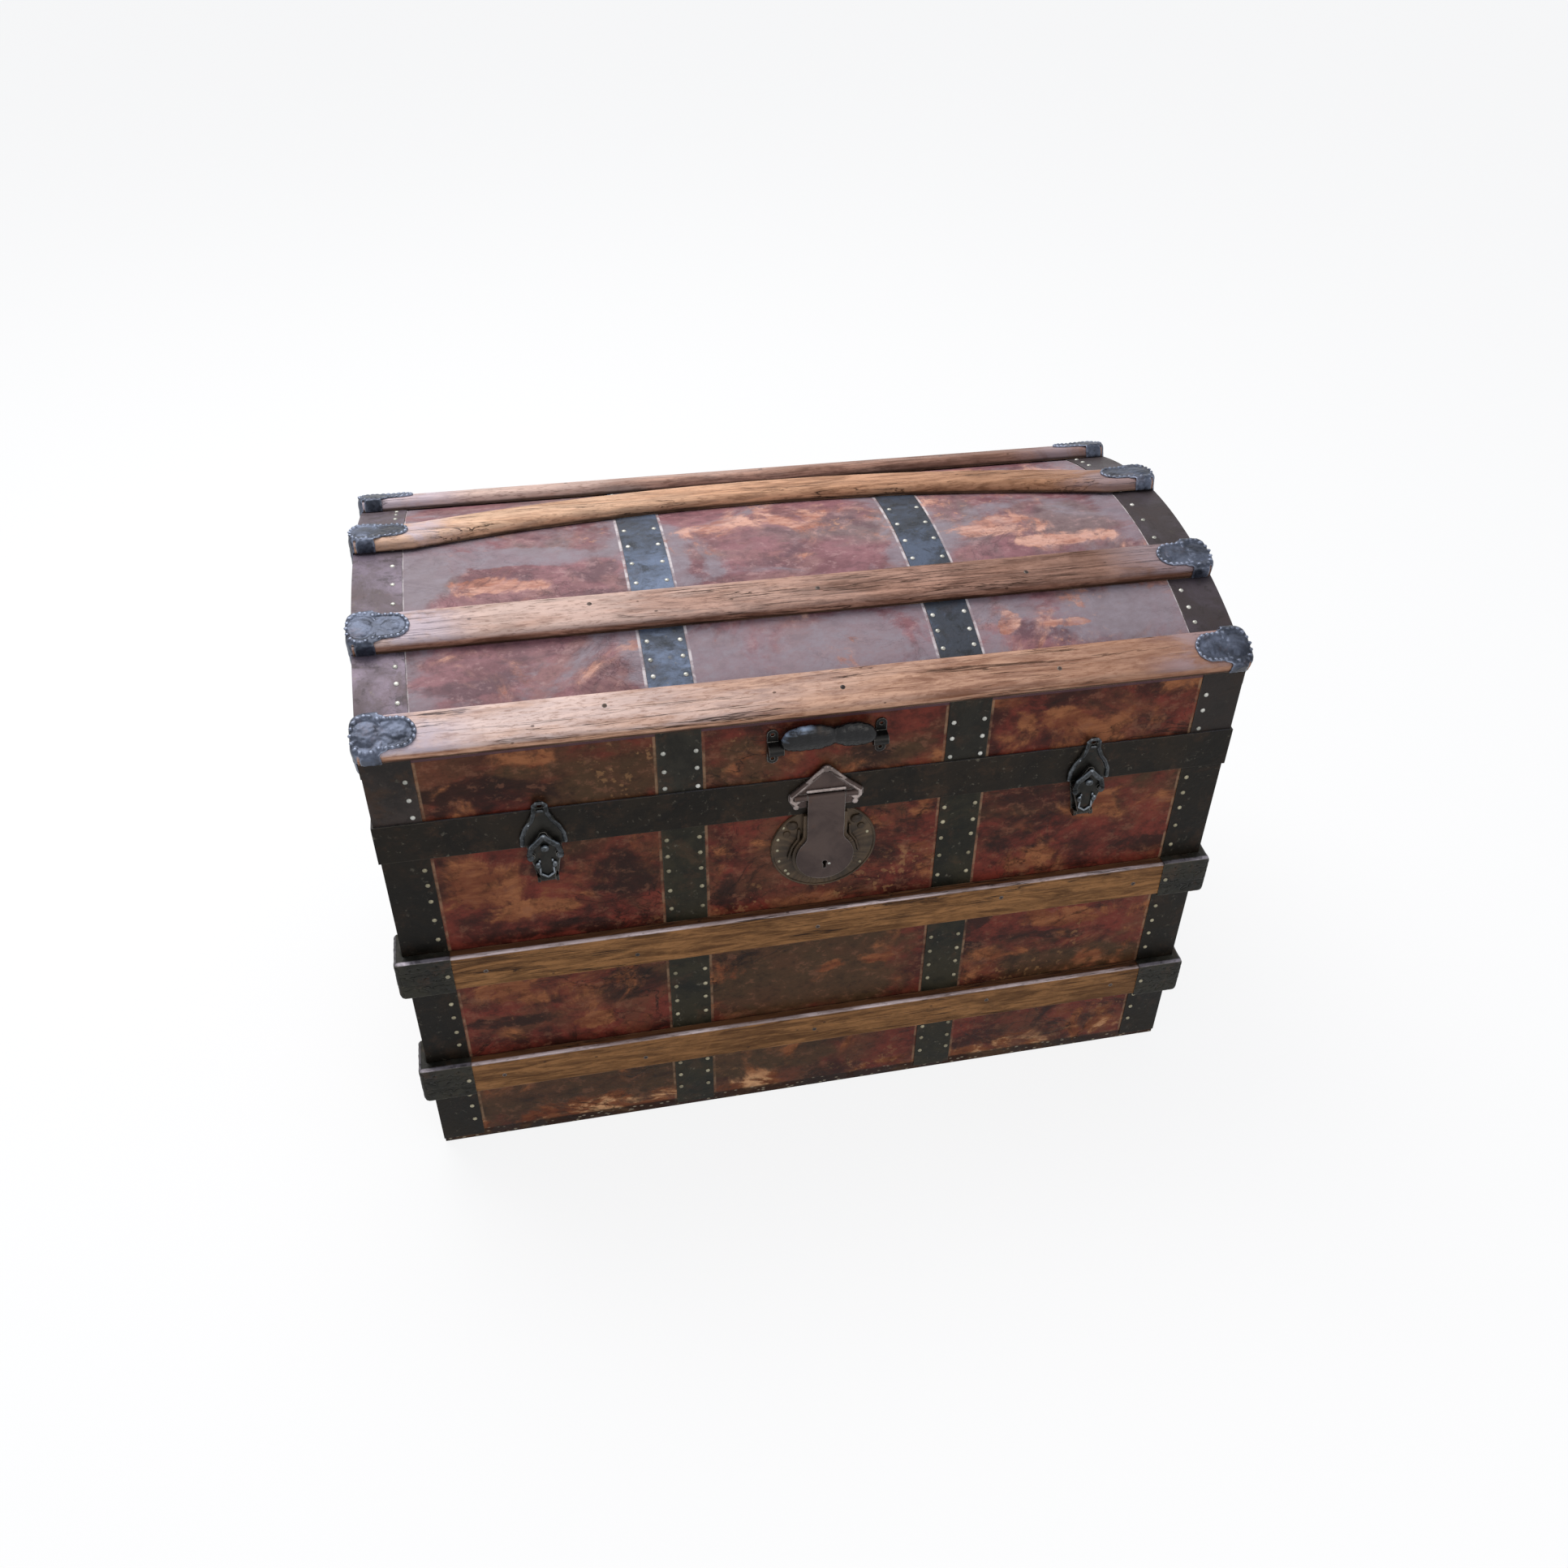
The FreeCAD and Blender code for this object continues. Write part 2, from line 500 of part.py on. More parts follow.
def clamps():
    parts = []
    for level, height in (("Low", "low_slat"), ("High", "case_height - high_slat")):
        parts.append(lay(case_clamp(f"ClampFront{level}"), X_AXIS, "90", f"-{END}", f"-{FACE} - sheet", height))
        parts.append(lay(case_clamp(f"ClampBack{level}"), X_AXIS, "-90", f"-{END}", f"{FACE} + sheet", height))
    left = node(group("CaseClamps", *parts), "slat_clamps_left")
    node(mirrored("CaseClampsRight", left, X_AXIS), "slat_clamps_right")
    places = [(OUTER_ANGLE, "0"), (INNER_ANGLE, "0"), (BOWED_ANGLE, "-bow / 2"), (f"-{OUTER_ANGLE}", "0")]
    parts = []
    for number, (angle, across) in enumerate(places):
        piece = on_arch(lid_clamp(f"LidClamp{number}"), angle, across)
        bind(piece, "Placement.Base.x", f"-{END}")
        parts.append(piece)
    left = node(group("LidClamps", *parts), "lid_clamps_left")
    node(mirrored("LidClampsRight", left, X_AXIS), "lid_clamps_right")


# Lid boards and metal, drawn as seen from the right end: Y along, Z up
def arch_height(radius, across):
    """How high a curve about the lid's own centre is at a distance from the trunk's middle."""
    return f"{ARCH_Z} + sqrt({radius} ^ 2 - ({across}) ^ 2)"


def arched(name, low_radius, high_radius, across, width):
    """A curved strip between two radii, cut upright at both sides."""
    points = [(f"-{across}", arch_height(low_radius, across)), (across, arch_height(low_radius, across)),
              (across, arch_height(high_radius, across)), (f"-{across}", arch_height(high_radius, across))]
    return profile(name, "YZ", points, {0: (low_radius, -1), 2: (high_radius, 1)}, width)


def lid_boards():
    under = f"({ARCH} - skin)"
    inner = f"({FACE} - wall)"
    points = [(f"-{FACE}", LID_Z), (f"-{inner}", LID_Z), (f"-{inner}", arch_height(under, inner)),
              (f"-{FACE}", arch_height(under, FACE))]
    front = profile("LidFrontRail", "YZ", points, {2: (under, 1)}, "length", True)
    node(front, "lid_front_rail")
    node(mirrored("LidBackRail", front, Y_AXIS), "lid_back_rail")
    points = [(f"-{inner}", LID_Z), (inner, LID_Z), (inner, arch_height(under, inner)),
              (f"-{inner}", arch_height(under, inner))]
    left = profile("LidLeftEnd", "YZ", points, {2: (under, 1)}, "wall")
    bind(left, "Placement.Base.x", f"-{END}")
    node(left, "lid_end_left")
    node(mirrored("LidRightEnd", left, X_AXIS), "lid_end_right")
    top = arched("LidTop", under, ARCH, FACE, "length")
    bind(top, "Placement.Base.x", f"-{END}")
    node(top, "lid_top")


def lid_metal():
    outer = block("BandOuter", (f"-{END} - sheet - band_thick", f"{END} + sheet + band_thick"),
                  (f"-{BAND_FACE}", f"{FACE} + sheet"), (LID_Z, f"{LID_Z} + band"))
    inner = block("BandInner", (f"-{END} - sheet", f"{END} + sheet"),
                  (f"-{FACE} - sheet", f"{FACE} + sheet + over"), (f"{LID_Z} - over", f"{LID_Z} + band + over"))
    node(without("RimBand", outer, inner), "lid_rim_band")
    strip = arched("ArchStrip", ARCH, f"({ARCH} + sheet)", FACE, "arch_strip + 2 * sheet")
    flange = arched("ArchFlange", f"({ARCH} - arch_drop)", f"({ARCH} + sheet)", FACE, "sheet")
    for piece in (strip, flange):
        bind(piece, "Placement.Base.x", f"-{END} - 2 * sheet")
    left = node(joined("EndBinding", strip, flange), "lid_end_binding_left")
    node(mirrored("EndBindingRight", left, X_AXIS), "lid_end_binding_right")
    front = corner_binding("LidCorner", LID_Z, "case_height + skirt")
    back = mirrored("LidCornerBack", front, Y_AXIS)
    left = node(group("LidCorners", front, back), "lid_corner_bindings_left")
    node(mirrored("LidCornersRight", left, X_AXIS), "lid_corner_bindings_right")
    face = f"({FACE} + sheet)"
    radius = f"({ARCH} + sheet)"
    points = [(f"-{face}", LID_Z), (f"-{FACE}", LID_Z), (f"-{FACE}", arch_height(ARCH, FACE)),
              (FACE, arch_height(ARCH, FACE)), (FACE, LID_Z), (face, LID_Z),
              (face, arch_height(radius, face)), (f"-{face}", arch_height(radius, face))]
    strap = profile("LidStrap", "YZ", points, {2: (ARCH, -1), 6: (radius, 1)}, "strap")
    bind(strap, "Placement.Base.x", "-strap_place - strap / 2")
    node(strap, "lid_strap_left")
    node(mirrored("LidStrapRight", strap, X_AXIS), "lid_strap_right")


# Hinges on the back
def hinges():
    case_parts, lid_parts, pins = [], [], []
    third = "(hinge_wide / 3)"
    half = "(hinge_wide / 2)"
    at_rim = (HINGE_Y, "case_height")
    plate_y = (FACE, f"{FACE} + leaf_thick")
    step = "(knuckle + gap)"
    for number, place in enumerate(("-hinge_place", "0", "hinge_place")):
        side = f"Hinge{number}"
        whole = (f"{place} - {half}", f"{place} + {half}")
        middle = (f"{place} - {third} / 2 + gap / 2", f"{place} + {third} / 2 - gap / 2")
        left = (f"{place} - {half}", f"{place} - {third} / 2 - gap / 2")
        right = (f"{place} + {third} / 2 + gap / 2", f"{place} + {half}")
        plate = block(f"{side}CasePlate", whole, plate_y, ("case_height - leaf_tall", f"case_height - {step}"))
        pieces = [plate]
        for word, span in (("Left", left), ("Right", right)):
            pieces.append(block(f"{side}{word}Root", span, plate_y, (f"case_height - {step}", "case_height")))
            pieces.append(rod(f"{side}{word}Knuckle", "x", "knuckle", *span, at_rim))
        leaf = joined(f"{side}CaseLeaf", *pieces)
        case_parts.append(without(f"{side}Case", leaf, rod(f"{side}CaseBore", "x", "pin + play",
                                                           f"{whole[0]} - over", f"{whole[1]} + over", at_rim)))
        plate = block(f"{side}LidPlate", whole, plate_y, (f"case_height + {step}", "case_height + leaf_tall"))
        root = block(f"{side}LidRoot", middle, plate_y, ("case_height", f"case_height + {step}"))
        leaf = joined(f"{side}LidLeaf", plate, root, rod(f"{side}LidKnuckle", "x", "knuckle", *middle, at_rim))
        lid_parts.append(without(f"{side}Lid", leaf, rod(f"{side}LidBore", "x", "pin + play",
                                                         f"{whole[0]} - over", f"{whole[1]} + over", at_rim)))
        pins.append(headed_pin(f"{side}Pin", "pin", "pin_head", *whole, at_rim))
    node(group("CaseLeaves", *case_parts), "hinge_leaves_case")
    node(group("LidLeaves", *lid_parts), "hinge_leaves_lid")
    node(group("HingePins", *pins), "hinge_pins")


def headed_pin(name, radius, head, start, end, base):
    """A pin along X with a flat head at each end."""
    return joined(name, rod(f"{name}Shank", "x", radius, start, end, base),
                  rod(f"{name}HeadLeft", "x", head, f"{start} - head_thick", start, base),
                  rod(f"{name}HeadRight", "x", head, end, f"{end} + head_thick", base))


# Lock, drawn on the front with the hasp's pin at the origin: X along, Z up, pads towards -Y
def lock():
    middle = f"({STAPLE_Z} + staple_tall / 2)"
    front = f"{STAPLE_BACK} - staple_wall - bolt_thick"
    back = f"{STAPLE_BACK} - staple_wall"
    inside = f"case_deep - {FACE} - staple_wall"
    slot = staple_slot("CaseSlot", inside)
    tunnel = block("BoltTunnel", ("lock_place - case_half + staple_wall", "lock_place + case_half - staple_wall"),
                   (f"{front} - bolt_play", f"{back} + bolt_play"),
                   (f"{middle} - bolt_tall / 2 - bolt_play", f"{middle} + bolt_tall / 2 + bolt_play"))
    key = keyhole("Case", f"-{FACE} - over", inside, "keyhole + play")
    node(without("LockCase", lock_case_space("LockCaseBlock"), slot, tunnel, key), "lock_case")
    bolt_end = "lock_place - channel / 2 - bolt_play"
    node(block("LockBolt", (f"{bolt_end} - bolt_long", bolt_end), (front, back),
               (f"{middle} - bolt_tall / 2", f"{middle} + bolt_tall / 2")), "lock_bolt")

    disc = rod("LockDisc", "y", "lock_plate", f"-{FACE} - lock_thick", f"-{FACE}",
               ("lock_place", "case_height - lock_centre"))
    housing = hasp_form("LockHousing", "(neck + boss_over)", "(bulb + boss_over)",
                        f"{HASP_BACK} - gap - {FACE} - lock_thick")
    lay(housing, Z_AXIS, "0", "lock_place", f"-{FACE} - lock_thick", HASP_Z)
    below_rim = block("BelowRim", ("lock_place - lock_plate - over", "lock_place + lock_plate + over"),
                      (f"-{HASP_BACK}", f"-{FACE} + over"), ("0", "case_height"))
    face = shared("LockFront", joined("LockFace", disc, housing), below_rim)
    node(without("LockPlate", face, staple_slot("PlateSlot", f"-{FACE} + over"),
                 keyhole("Plate", f"-{HASP_BACK}", f"-{FACE} + over", "keyhole + play")), "lock_plate")


def staple_slot(name, inside):
    """The upright slot that the staple drops into, open at the front and at the rim."""
    return block(name, ("lock_place - channel / 2", "lock_place + channel / 2"), (f"-{HASP_BACK}", inside),
                 (f"{STAPLE_Z} - channel_foot", "case_height + over"))


def keyhole(name, front, back, radius):
    """A round hole with a slot below it."""
    return group(f"{name}Keyhole", rod(f"{name}KeyRound", "y", radius, front, back, ("lock_place", KEY_Z)),
                 block(f"{name}KeySlot", ("lock_place - keyway / 2", "lock_place + keyway / 2"), (front, back),
                       (f"{KEY_Z} - keyway_long", KEY_Z)))


def hasp_form(name, side, radius, thick):
    """The hasp's outline: a neck that runs down, through two hollow curves, into a round end."""
    down = f"(sqrt(({radius} + throat) ^ 2 - ({side} + throat) ^ 2))"
    reach_share = f"({radius} / ({radius} + throat))"
    meet_x = f"(({side} + throat) * {reach_share})"
    meet_z = f"({down} * {reach_share} - bulb_drop)"
    start = f"({down} - bulb_drop)"
    points = [(side, "0"), (f"-{side}", "0"), (f"-{side}", start), (f"-{meet_x}", meet_z),
              ("0", f"-bulb_drop - {radius}"), (meet_x, meet_z), (side, start)]
    arcs = {2: ("throat", -1), 3: (radius, 1), 4: (radius, 1), 5: ("throat", -1)}
    return profile(name, "XZ", points, arcs, thick)


def hasp():
    pin_at = (f"-{HASP_Y}", HASP_Z)
    bore = rod("HaspBore", "x", "hasp_pin + play", "lock_place - plate_half - over", "lock_place + plate_half + over",
               pin_at)
    plate = hasp_form("HaspForm", "neck", "bulb", "hasp_thick")
    lay(plate, Z_AXIS, "0", "lock_place", f"-{HASP_BACK}", HASP_Z)
    barrel = rod("HaspBarrel", "x", "hasp_barrel", "lock_place - neck", "lock_place + neck", pin_at)
    sides = ("lock_place - staple_thick / 2", "lock_place + staple_thick / 2")
    staple = block("Staple", sides, (f"-{HASP_BACK}", STAPLE_BACK), (STAPLE_Z, f"{STAPLE_Z} + staple_tall"))
    eye = block("StapleEye", (f"{sides[0]} - over", f"{sides[1]} + over"),
                (f"staple_wall - {HASP_BACK}", f"{STAPLE_BACK} - staple_wall + bolt_play"),
                (f"{STAPLE_Z} + staple_wall", f"{STAPLE_Z} + staple_tall - staple_wall"))
    key = keyhole("Hasp", f"-{HASP_BACK} - hasp_thick - over", f"-{HASP_BACK}", "keyhole")
    node(without("Hasp", joined("HaspWhole", plate, barrel, staple), bore, eye, key), "hasp")

    half, corner = "plate_half", "plate_nose / 2"
    cheek = "neck + gap"
    points = [(half, f"-{corner}"), (half, corner), ("plate_nose", "plate_top"), ("0", "plate_top + plate_nose"),
              ("-plate_nose", "plate_top"),
              (f"-{half}", corner), (f"-{half}", f"-{corner}"), (f"plate_nose - {half}", "-plate_ear"),
              (f"-({cheek})", "-plate_ear"), (f"-({cheek})", "hasp_barrel + gap"),
              (cheek, "hasp_barrel + gap"), (cheek, "-plate_ear"), (f"{half} - plate_nose", "-plate_ear")]
    plate = profile("HaspPlateOutline", "XZ", points, {2: ("plate_nose", 1), 3: ("plate_nose", 1)}, "hasp_plate")
    lay(plate, Z_AXIS, "0", "lock_place", f"-{BAND_FACE}", HASP_Z)
    pieces = [plate]
    left = (f"lock_place - ({cheek}) - ear_wide", f"lock_place - ({cheek})")
    right = (f"lock_place + {cheek}", f"lock_place + {cheek} + ear_wide")
    for word, span in (("Left", left), ("Right", right)):
        pieces.append(rod(f"HaspEar{word}", "x", "hasp_barrel", *span, pin_at))
        pieces.append(block(f"HaspEar{word}Root", span, (f"-{HASP_Y}", f"-{BAND_FACE}"),
                            (f"{HASP_Z} - hasp_barrel", f"{HASP_Z} + hasp_barrel")))
    rise = f"(plate_top - {corner})"
    lean = f"(atan(({half} - plate_nose) / {rise}) / 1 deg)"
    for word, axis, side in (("Left", Y_AXIS, f"lock_place - {half} + rib"), ("Right", Y_AXIS * -1,
                                                                           f"lock_place + {half} - rib")):
        rib = doc.addObject("Part::Cylinder", f"HaspPlateRib{word}")
        bind(rib, "Radius", "rib")
        bind(rib, "Height", f"sqrt(({half} - plate_nose) ^ 2 + {rise} ^ 2)")
        pieces.append(lay(rib, axis, lean, side, f"-{BAND_FACE} - rib", f"{HASP_Z} + {corner}"))
    node(without("HaspPlate", joined("HaspPlateWhole", *pieces), bore), "hasp_plate")
    node(rod("HaspPin", "x", "hasp_pin", left[0], right[1], pin_at), "hasp_pin")


# Draw latches, the left one first
def latches():
    middle = "-latch_place"
    pivot = (f"-{LATCH_Y}", LATCH_Z)
    ear_in, ear_out = "(latch_foot + gap)", "(latch_foot + gap + ear_thick)"
    outline = [("keeper_neck", "-latch_pin_drop - ear_round"), (ear_out, "-latch_pin_drop"), ("latch_hip", "-gap"),
               ("-latch_hip", "-gap"), (f"-{ear_out}", "-latch_pin_drop"),
               ("-keeper_neck", "-latch_pin_drop - ear_round")]
    base = lay(profile("LatchBasePlate", "XZ", outline, {}, "latch_base"), Z_AXIS, "0", middle, f"-{FACE}",
               "case_height")
    pieces = [base]
    for word, low, high in (("Left", f"{middle} - {ear_out}", f"{middle} - {ear_in}"),
                            ("Right", f"{middle} + {ear_in}", f"{middle} + {ear_out}")):
        pieces.append(block(f"LatchEar{word}Root", (low, high), (f"-{LATCH_Y}", f"-{FACE}"),
                            (f"{LATCH_Z} - ear_round", f"{LATCH_Z} + ear_round")))
        pieces.append(rod(f"LatchEar{word}", "x", "ear_round", low, high, pivot))
    bore = rod("LatchBore", "x", "latch_pin + play", f"{middle} - {ear_out} - over", f"{middle} + {ear_out} + over",
               pivot)
    left = node(without("LatchBase", joined("LatchBaseWhole", *pieces), bore), "latch_base_left")
    node(mirrored("LatchBaseRight", left, X_AXIS), "latch_base_right")

    outline = [("latch_foot", "0"), ("latch_foot", "ear_round + gap"), ("latch_hip", "latch_hip_rise"),
               ("latch_nose", "latch_nose_rise"), ("0", "latch_nose_rise + latch_nose"),
               ("-latch_nose", "latch_nose_rise"), ("-latch_hip", "latch_hip_rise"),
               ("-latch_foot", "ear_round + gap"), ("-latch_foot", "0")]
    body = profile("LeverPlate", "XZ", outline, {3: ("latch_nose", 1), 4: ("latch_nose", 1)}, "latch_thick")
    plate = lay(body, Z_AXIS, "0", middle, f"-{LATCH_Y}", LATCH_Z)
    barrel = rod("LeverBarrel", "x", "latch_barrel", f"{middle} - latch_foot", f"{middle} + latch_foot", pivot)
    pins = rod("LeverPins", "x", "latch_pin", f"{middle} - {ear_out}", f"{middle} + {ear_out}", pivot)
    knobs = []
    for word, side in (("Left", f"{middle} - latch_hip + latch_horn"), ("Right", f"{middle} + latch_hip - latch_horn")):
        knobs.append(rod(f"LeverKnob{word}", "y", "latch_horn", f"-{LATCH_Y} - latch_thick - latch_horn",
                         f"-{LATCH_Y}", (side, f"{LATCH_Z} + latch_hip_rise - latch_horn")))
    left = node(joined("Lever", plate, barrel, pins, *knobs), "latch_lever_left")
    node(mirrored("LeverRight", left, X_AXIS), "latch_lever_right")

    outline = [("keeper_half", "keeper_foot"), ("keeper_half", "keeper_hip"), ("keeper_neck", "keeper_eye"),
               ("0", "keeper_eye + keeper_neck"), ("-keeper_neck", "keeper_eye"), ("-keeper_half", "keeper_hip"), ("-keeper_half", "keeper_foot")]
    body = profile("KeeperPlate", "XZ", outline, {2: ("keeper_neck", 1), 3: ("keeper_neck", 1)}, "keeper_thick")
    plate = lay(body, Z_AXIS, "0", middle, f"-{BAND_FACE}", "case_height")
    rims = []
    lean = "(atan((keeper_half - keeper_neck) / (keeper_eye - keeper_hip)) / 1 deg)"
    run = "sqrt((keeper_half - keeper_neck) ^ 2 + (keeper_eye - keeper_hip) ^ 2)"
    for word, sign in (("Left", "-"), ("Right", "")):
        rim = doc.addObject("Part::Cylinder", f"KeeperRim{word}")
        bind(rim, "Radius", "keeper_rim")
        bind(rim, "Height", run)
        lay(rim, Y_AXIS if sign else Y_AXIS * -1, lean,
            f"{middle} {sign or '+'} (keeper_half - keeper_rim)", f"-{BAND_FACE} - keeper_rim",
            "case_height + keeper_hip")
        rims.append(rim)
    eye = rod("KeeperHole", "y", "keeper_hole", f"-{BAND_FACE} - keeper_thick - over", f"-{BAND_FACE} + over",
              (middle, "case_height + keeper_eye"))
    left = node(without("Keeper", joined("KeeperWhole", plate, *rims), eye), "latch_keeper_left")
    node(mirrored("KeeperRight", left, X_AXIS), "latch_keeper_right")


# Handles, drawn on an upright wall that faces -Y, with the pivots' axis at the origin's height
def grip(name, half, out, arch, stand, tall, thick):
    """A leather grip: a loft through upright many-sided sections, with a pivot at each end."""
    rings = []
    stations = [(f"-{part_share}", full) for part_share, full in reversed(GRIP_SHARES[1:])]
    stations += [(str(part_share), full) for part_share, full in GRIP_SHARES]
    for number, (share_words, full) in enumerate(stations):
        rise = f"(1 - ({share_words}) ^ 2)"
        middle_y, middle_z = f"-{out} - {stand} * {rise}", f"{arch} * {rise}"
        points = []
        for side_sign, edge_sign, quarter in (("+", "+", SECTION_SHARES), ("-", "+", SECTION_SHARES[::-1]),
                                              ("-", "-", SECTION_SHARES), ("+", "-", SECTION_SHARES[::-1])):
            for side_share, edge_share in quarter:
                points.append((f"{middle_y} {side_sign} {thick} * {full} * {side_share}",
                               f"{middle_z} {edge_sign} {tall} * {full} * {edge_share}"))
        ring = doc.addObject("Sketcher::SketchObject", f"{name}Ring{number}")
        ring.Placement = FreeCAD.Placement(V(0, 0, 0), FreeCAD.Rotation(X_AXIS + Y_AXIS + Z_AXIS, 120))
        draw(ring, points, {})
        bind(ring, "Placement.Base.x", f"({share_words}) * ({half} - gap)")
        rings.append(ring)
    leather = doc.addObject("Part::Loft", f"{name}Leather")
    leather.Sections = rings
    leather.Solid = True
    leather.Ruled = True
    pins = [rod(f"{name}PinLeft", "x", "pivot", f"gap - {half} - pivot_long", f"gap - {half} + pivot", (f"-{out}", "0")),
            rod(f"{name}PinRight", "x", "pivot", f"{half} - gap - pivot", f"{half} - gap + pivot_long", (f"-{out}", "0"))]
    return joined(name, leather, *pins)


def caps(name, half, out, long, tall, ear):
    """The two cast caps that a grip turns in, each with two screw ears; tall is the height of the ears' middles."""
    left = {"whole": (f"-{half} - {long}", f"-{half}"), "foot": (f"-{half} - {long}", f"2 * {ear} - {half} - {long}"),
            "bore": (f"-{half} - pivot_long - gap", f"over - {half}"), "ear": f"{ear} - {half} - {long}"}
    right = {"whole": (half, f"{half} + {long}"), "foot": (f"{half} + {long} - 2 * {ear}", f"{half} + {long}"),
             "bore": (f"{half} - over", f"{half} + pivot_long + gap"), "ear": f"{half} + {long} - {ear}"}
    pieces = []
    for word, spans in (("Left", left), ("Right", right)):
        tag = f"{name}{word}"
        solids = [block(f"{tag}Plate", spans["foot"], ("-cap_plate", "0"), (f"-{tall}", tall)),
                  rod(f"{tag}Barrel", "x", "pivot + cap_wall", *spans["whole"], (f"-{out}", "0")),
                  block(f"{tag}Neck", spans["whole"], (f"-{out}", "0"), ("-pivot - cap_wall", "pivot + cap_wall"))]
        holes = [rod(f"{tag}Bore", "x", "pivot + play", *spans["bore"], (f"-{out}", "0"))]
        for level, place in (("Low", f"-{tall}"), ("High", tall)):
            solids.append(rod(f"{tag}Ear{level}", "y", ear, "-cap_plate", "0", (spans["ear"], place)))
            holes.append(rod(f"{tag}Hole{level}", "y", "ear_hole", "-cap_plate - over", "over", (spans["ear"], place)))
        pieces.append(without(tag, joined(f"{tag}Whole", *solids), *holes))
    return group(name, *pieces)


def handles():
    lid = ("lid_handle_half", "lid_handle_out")
    ends = ("end_handle_half", "end_handle_out")
    lid_at = ("lock_place", f"-{FACE}", "case_height + lid_handle_rise")
    lid_grip = grip("LidGrip", *lid, "lid_grip_arch", "lid_grip_stand", "lid_grip_tall", "lid_grip_thick")
    node(lay(lid_grip, Z_AXIS, "0", *lid_at), "lid_handle")
    lid_caps = caps("LidCaps", *lid, "lid_cap_long", "lid_cap_half", "lid_cap_ear")
    node(lay(lid_caps, Z_AXIS, "0", *lid_at), "lid_handle_caps")
    end_at = (f"-{END}", "0", "end_handle_height")
    end_grip = grip("EndGrip", *ends, "end_grip_arch", "end_grip_stand", "end_grip_tall", "end_grip_thick")
    left = node(lay(end_grip, Z_AXIS, "-90", *end_at), "end_handle_left")
    node(mirrored("EndGripRight", left, X_AXIS), "end_handle_right")
    end_caps = caps("EndCaps", *ends, "end_cap_long", "end_cap_half", "end_cap_ear")
    left = node(lay(end_caps, Z_AXIS, "-90", *end_at), "end_handle_caps_left")
    node(mirrored("EndCapsRight", left, X_AXIS), "end_handle_caps_right")


case_boards()
case_metal()
slats()
clamps()
lid_boards()
lid_metal()
hinges()
lock()
hasp()
latches()
handles()
doc.recompute()

failed = [item.Name for item in doc.Objects if {"Invalid", "Error"} & set(item.State)]
if failed:
    raise RuntimeError(f"objects that did not compute: {failed}")
for piece in NODES:
    if piece.Shape.isNull() or not piece.Shape.isValid() or not piece.Shape.Solids:
        raise RuntimeError(f"{piece.Label} has no valid shape")
os.makedirs("parts", exist_ok=True)
for piece in NODES:
    piece.Shape.exportStep(f"parts/{piece.Label}.step")
print(len(NODES), "sub-parts,", sum(len(piece.Shape.Solids) for piece in NODES), "solids")
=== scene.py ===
# %% [markdown]
# # A curved-top slat trunk
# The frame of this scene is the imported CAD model: boards, straps, slats, hinges and lock at their real size.
# This script gives every surface its finish and builds what a plain CAD model leaves out: nail heads, pebbled
# clamps, the pressed lock and latches, and the leather grips. Everything is in metres, +Z is up, the length runs
# along X and the front faces -Y.

# %% Load the frame
import math
from contextlib import contextmanager

import bmesh
import bpy
from mathutils import Matrix, Vector


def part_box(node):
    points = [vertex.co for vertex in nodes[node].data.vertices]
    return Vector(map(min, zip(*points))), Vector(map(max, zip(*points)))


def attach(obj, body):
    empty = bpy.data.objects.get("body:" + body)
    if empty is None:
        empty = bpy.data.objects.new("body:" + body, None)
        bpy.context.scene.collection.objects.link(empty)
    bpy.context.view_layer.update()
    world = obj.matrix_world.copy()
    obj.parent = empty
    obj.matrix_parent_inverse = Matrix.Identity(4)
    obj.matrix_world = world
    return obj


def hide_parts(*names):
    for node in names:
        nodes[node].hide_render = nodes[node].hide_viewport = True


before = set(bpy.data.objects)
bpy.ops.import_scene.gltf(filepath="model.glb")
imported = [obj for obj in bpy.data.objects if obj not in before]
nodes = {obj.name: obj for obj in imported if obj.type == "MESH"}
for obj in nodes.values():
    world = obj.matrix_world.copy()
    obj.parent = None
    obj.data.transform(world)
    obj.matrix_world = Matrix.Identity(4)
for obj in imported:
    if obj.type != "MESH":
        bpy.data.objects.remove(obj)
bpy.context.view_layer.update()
bpy.ops.object.select_all(action="DESELECT")

# %% [markdown]
# ## The photographer's place
# The photograph looks down at the trunk from the front, a little left of its middle. The direction, the distance
# and the focal length come from fitting the trunk's edges to the picture. The frame was cropped a little off
# centre, which a small lens shift repeats.

# %% Camera
CAMERA_PLACE = (-0.2626, -1.3244, 1.3973)
CAMERA_TURN = (49.09, -2.04, -12.78)
LENS = 33.89
LENS_SHIFT = (-0.0389, 0.0219)

bpy.ops.object.camera_add(location=CAMERA_PLACE, rotation=[math.radians(angle) for angle in CAMERA_TURN])
camera = bpy.context.object
camera.name = "camera"
camera.data.lens = LENS
camera.data.sensor_width = 36
camera.data.shift_x, camera.data.shift_y = LENS_SHIFT
bpy.context.scene.camera = camera

# %% [markdown]
# ## A pale room
# The floor is a large pale sheet, and the world is a soft sky. Both look almost white to the camera and to what
# mirrors them, while the lamps stay at a plain level, so that each colour comes out about as it is written. The
# main lamp hangs above and behind the trunk, which makes the lid brighter than the front, as in the photograph.

# %% Floor, sky and lamps
FLOOR_REACH = 40
FLOOR_WHITE = 0.86
SKY = (0.80, 0.86, 1.0)
SKY_STRENGTH = 0.55
SKY_WHITE = 0.96


def tone(red, green, blue):
    """A colour written as on a screen, 0 to 255, as the linear numbers that a shader takes."""
    return tuple((value / 255 / 12.92 if value <= 10 else ((value / 255 + 0.055) / 1.055) ** 2.4)
                 for value in (red, green, blue)) + (1,)


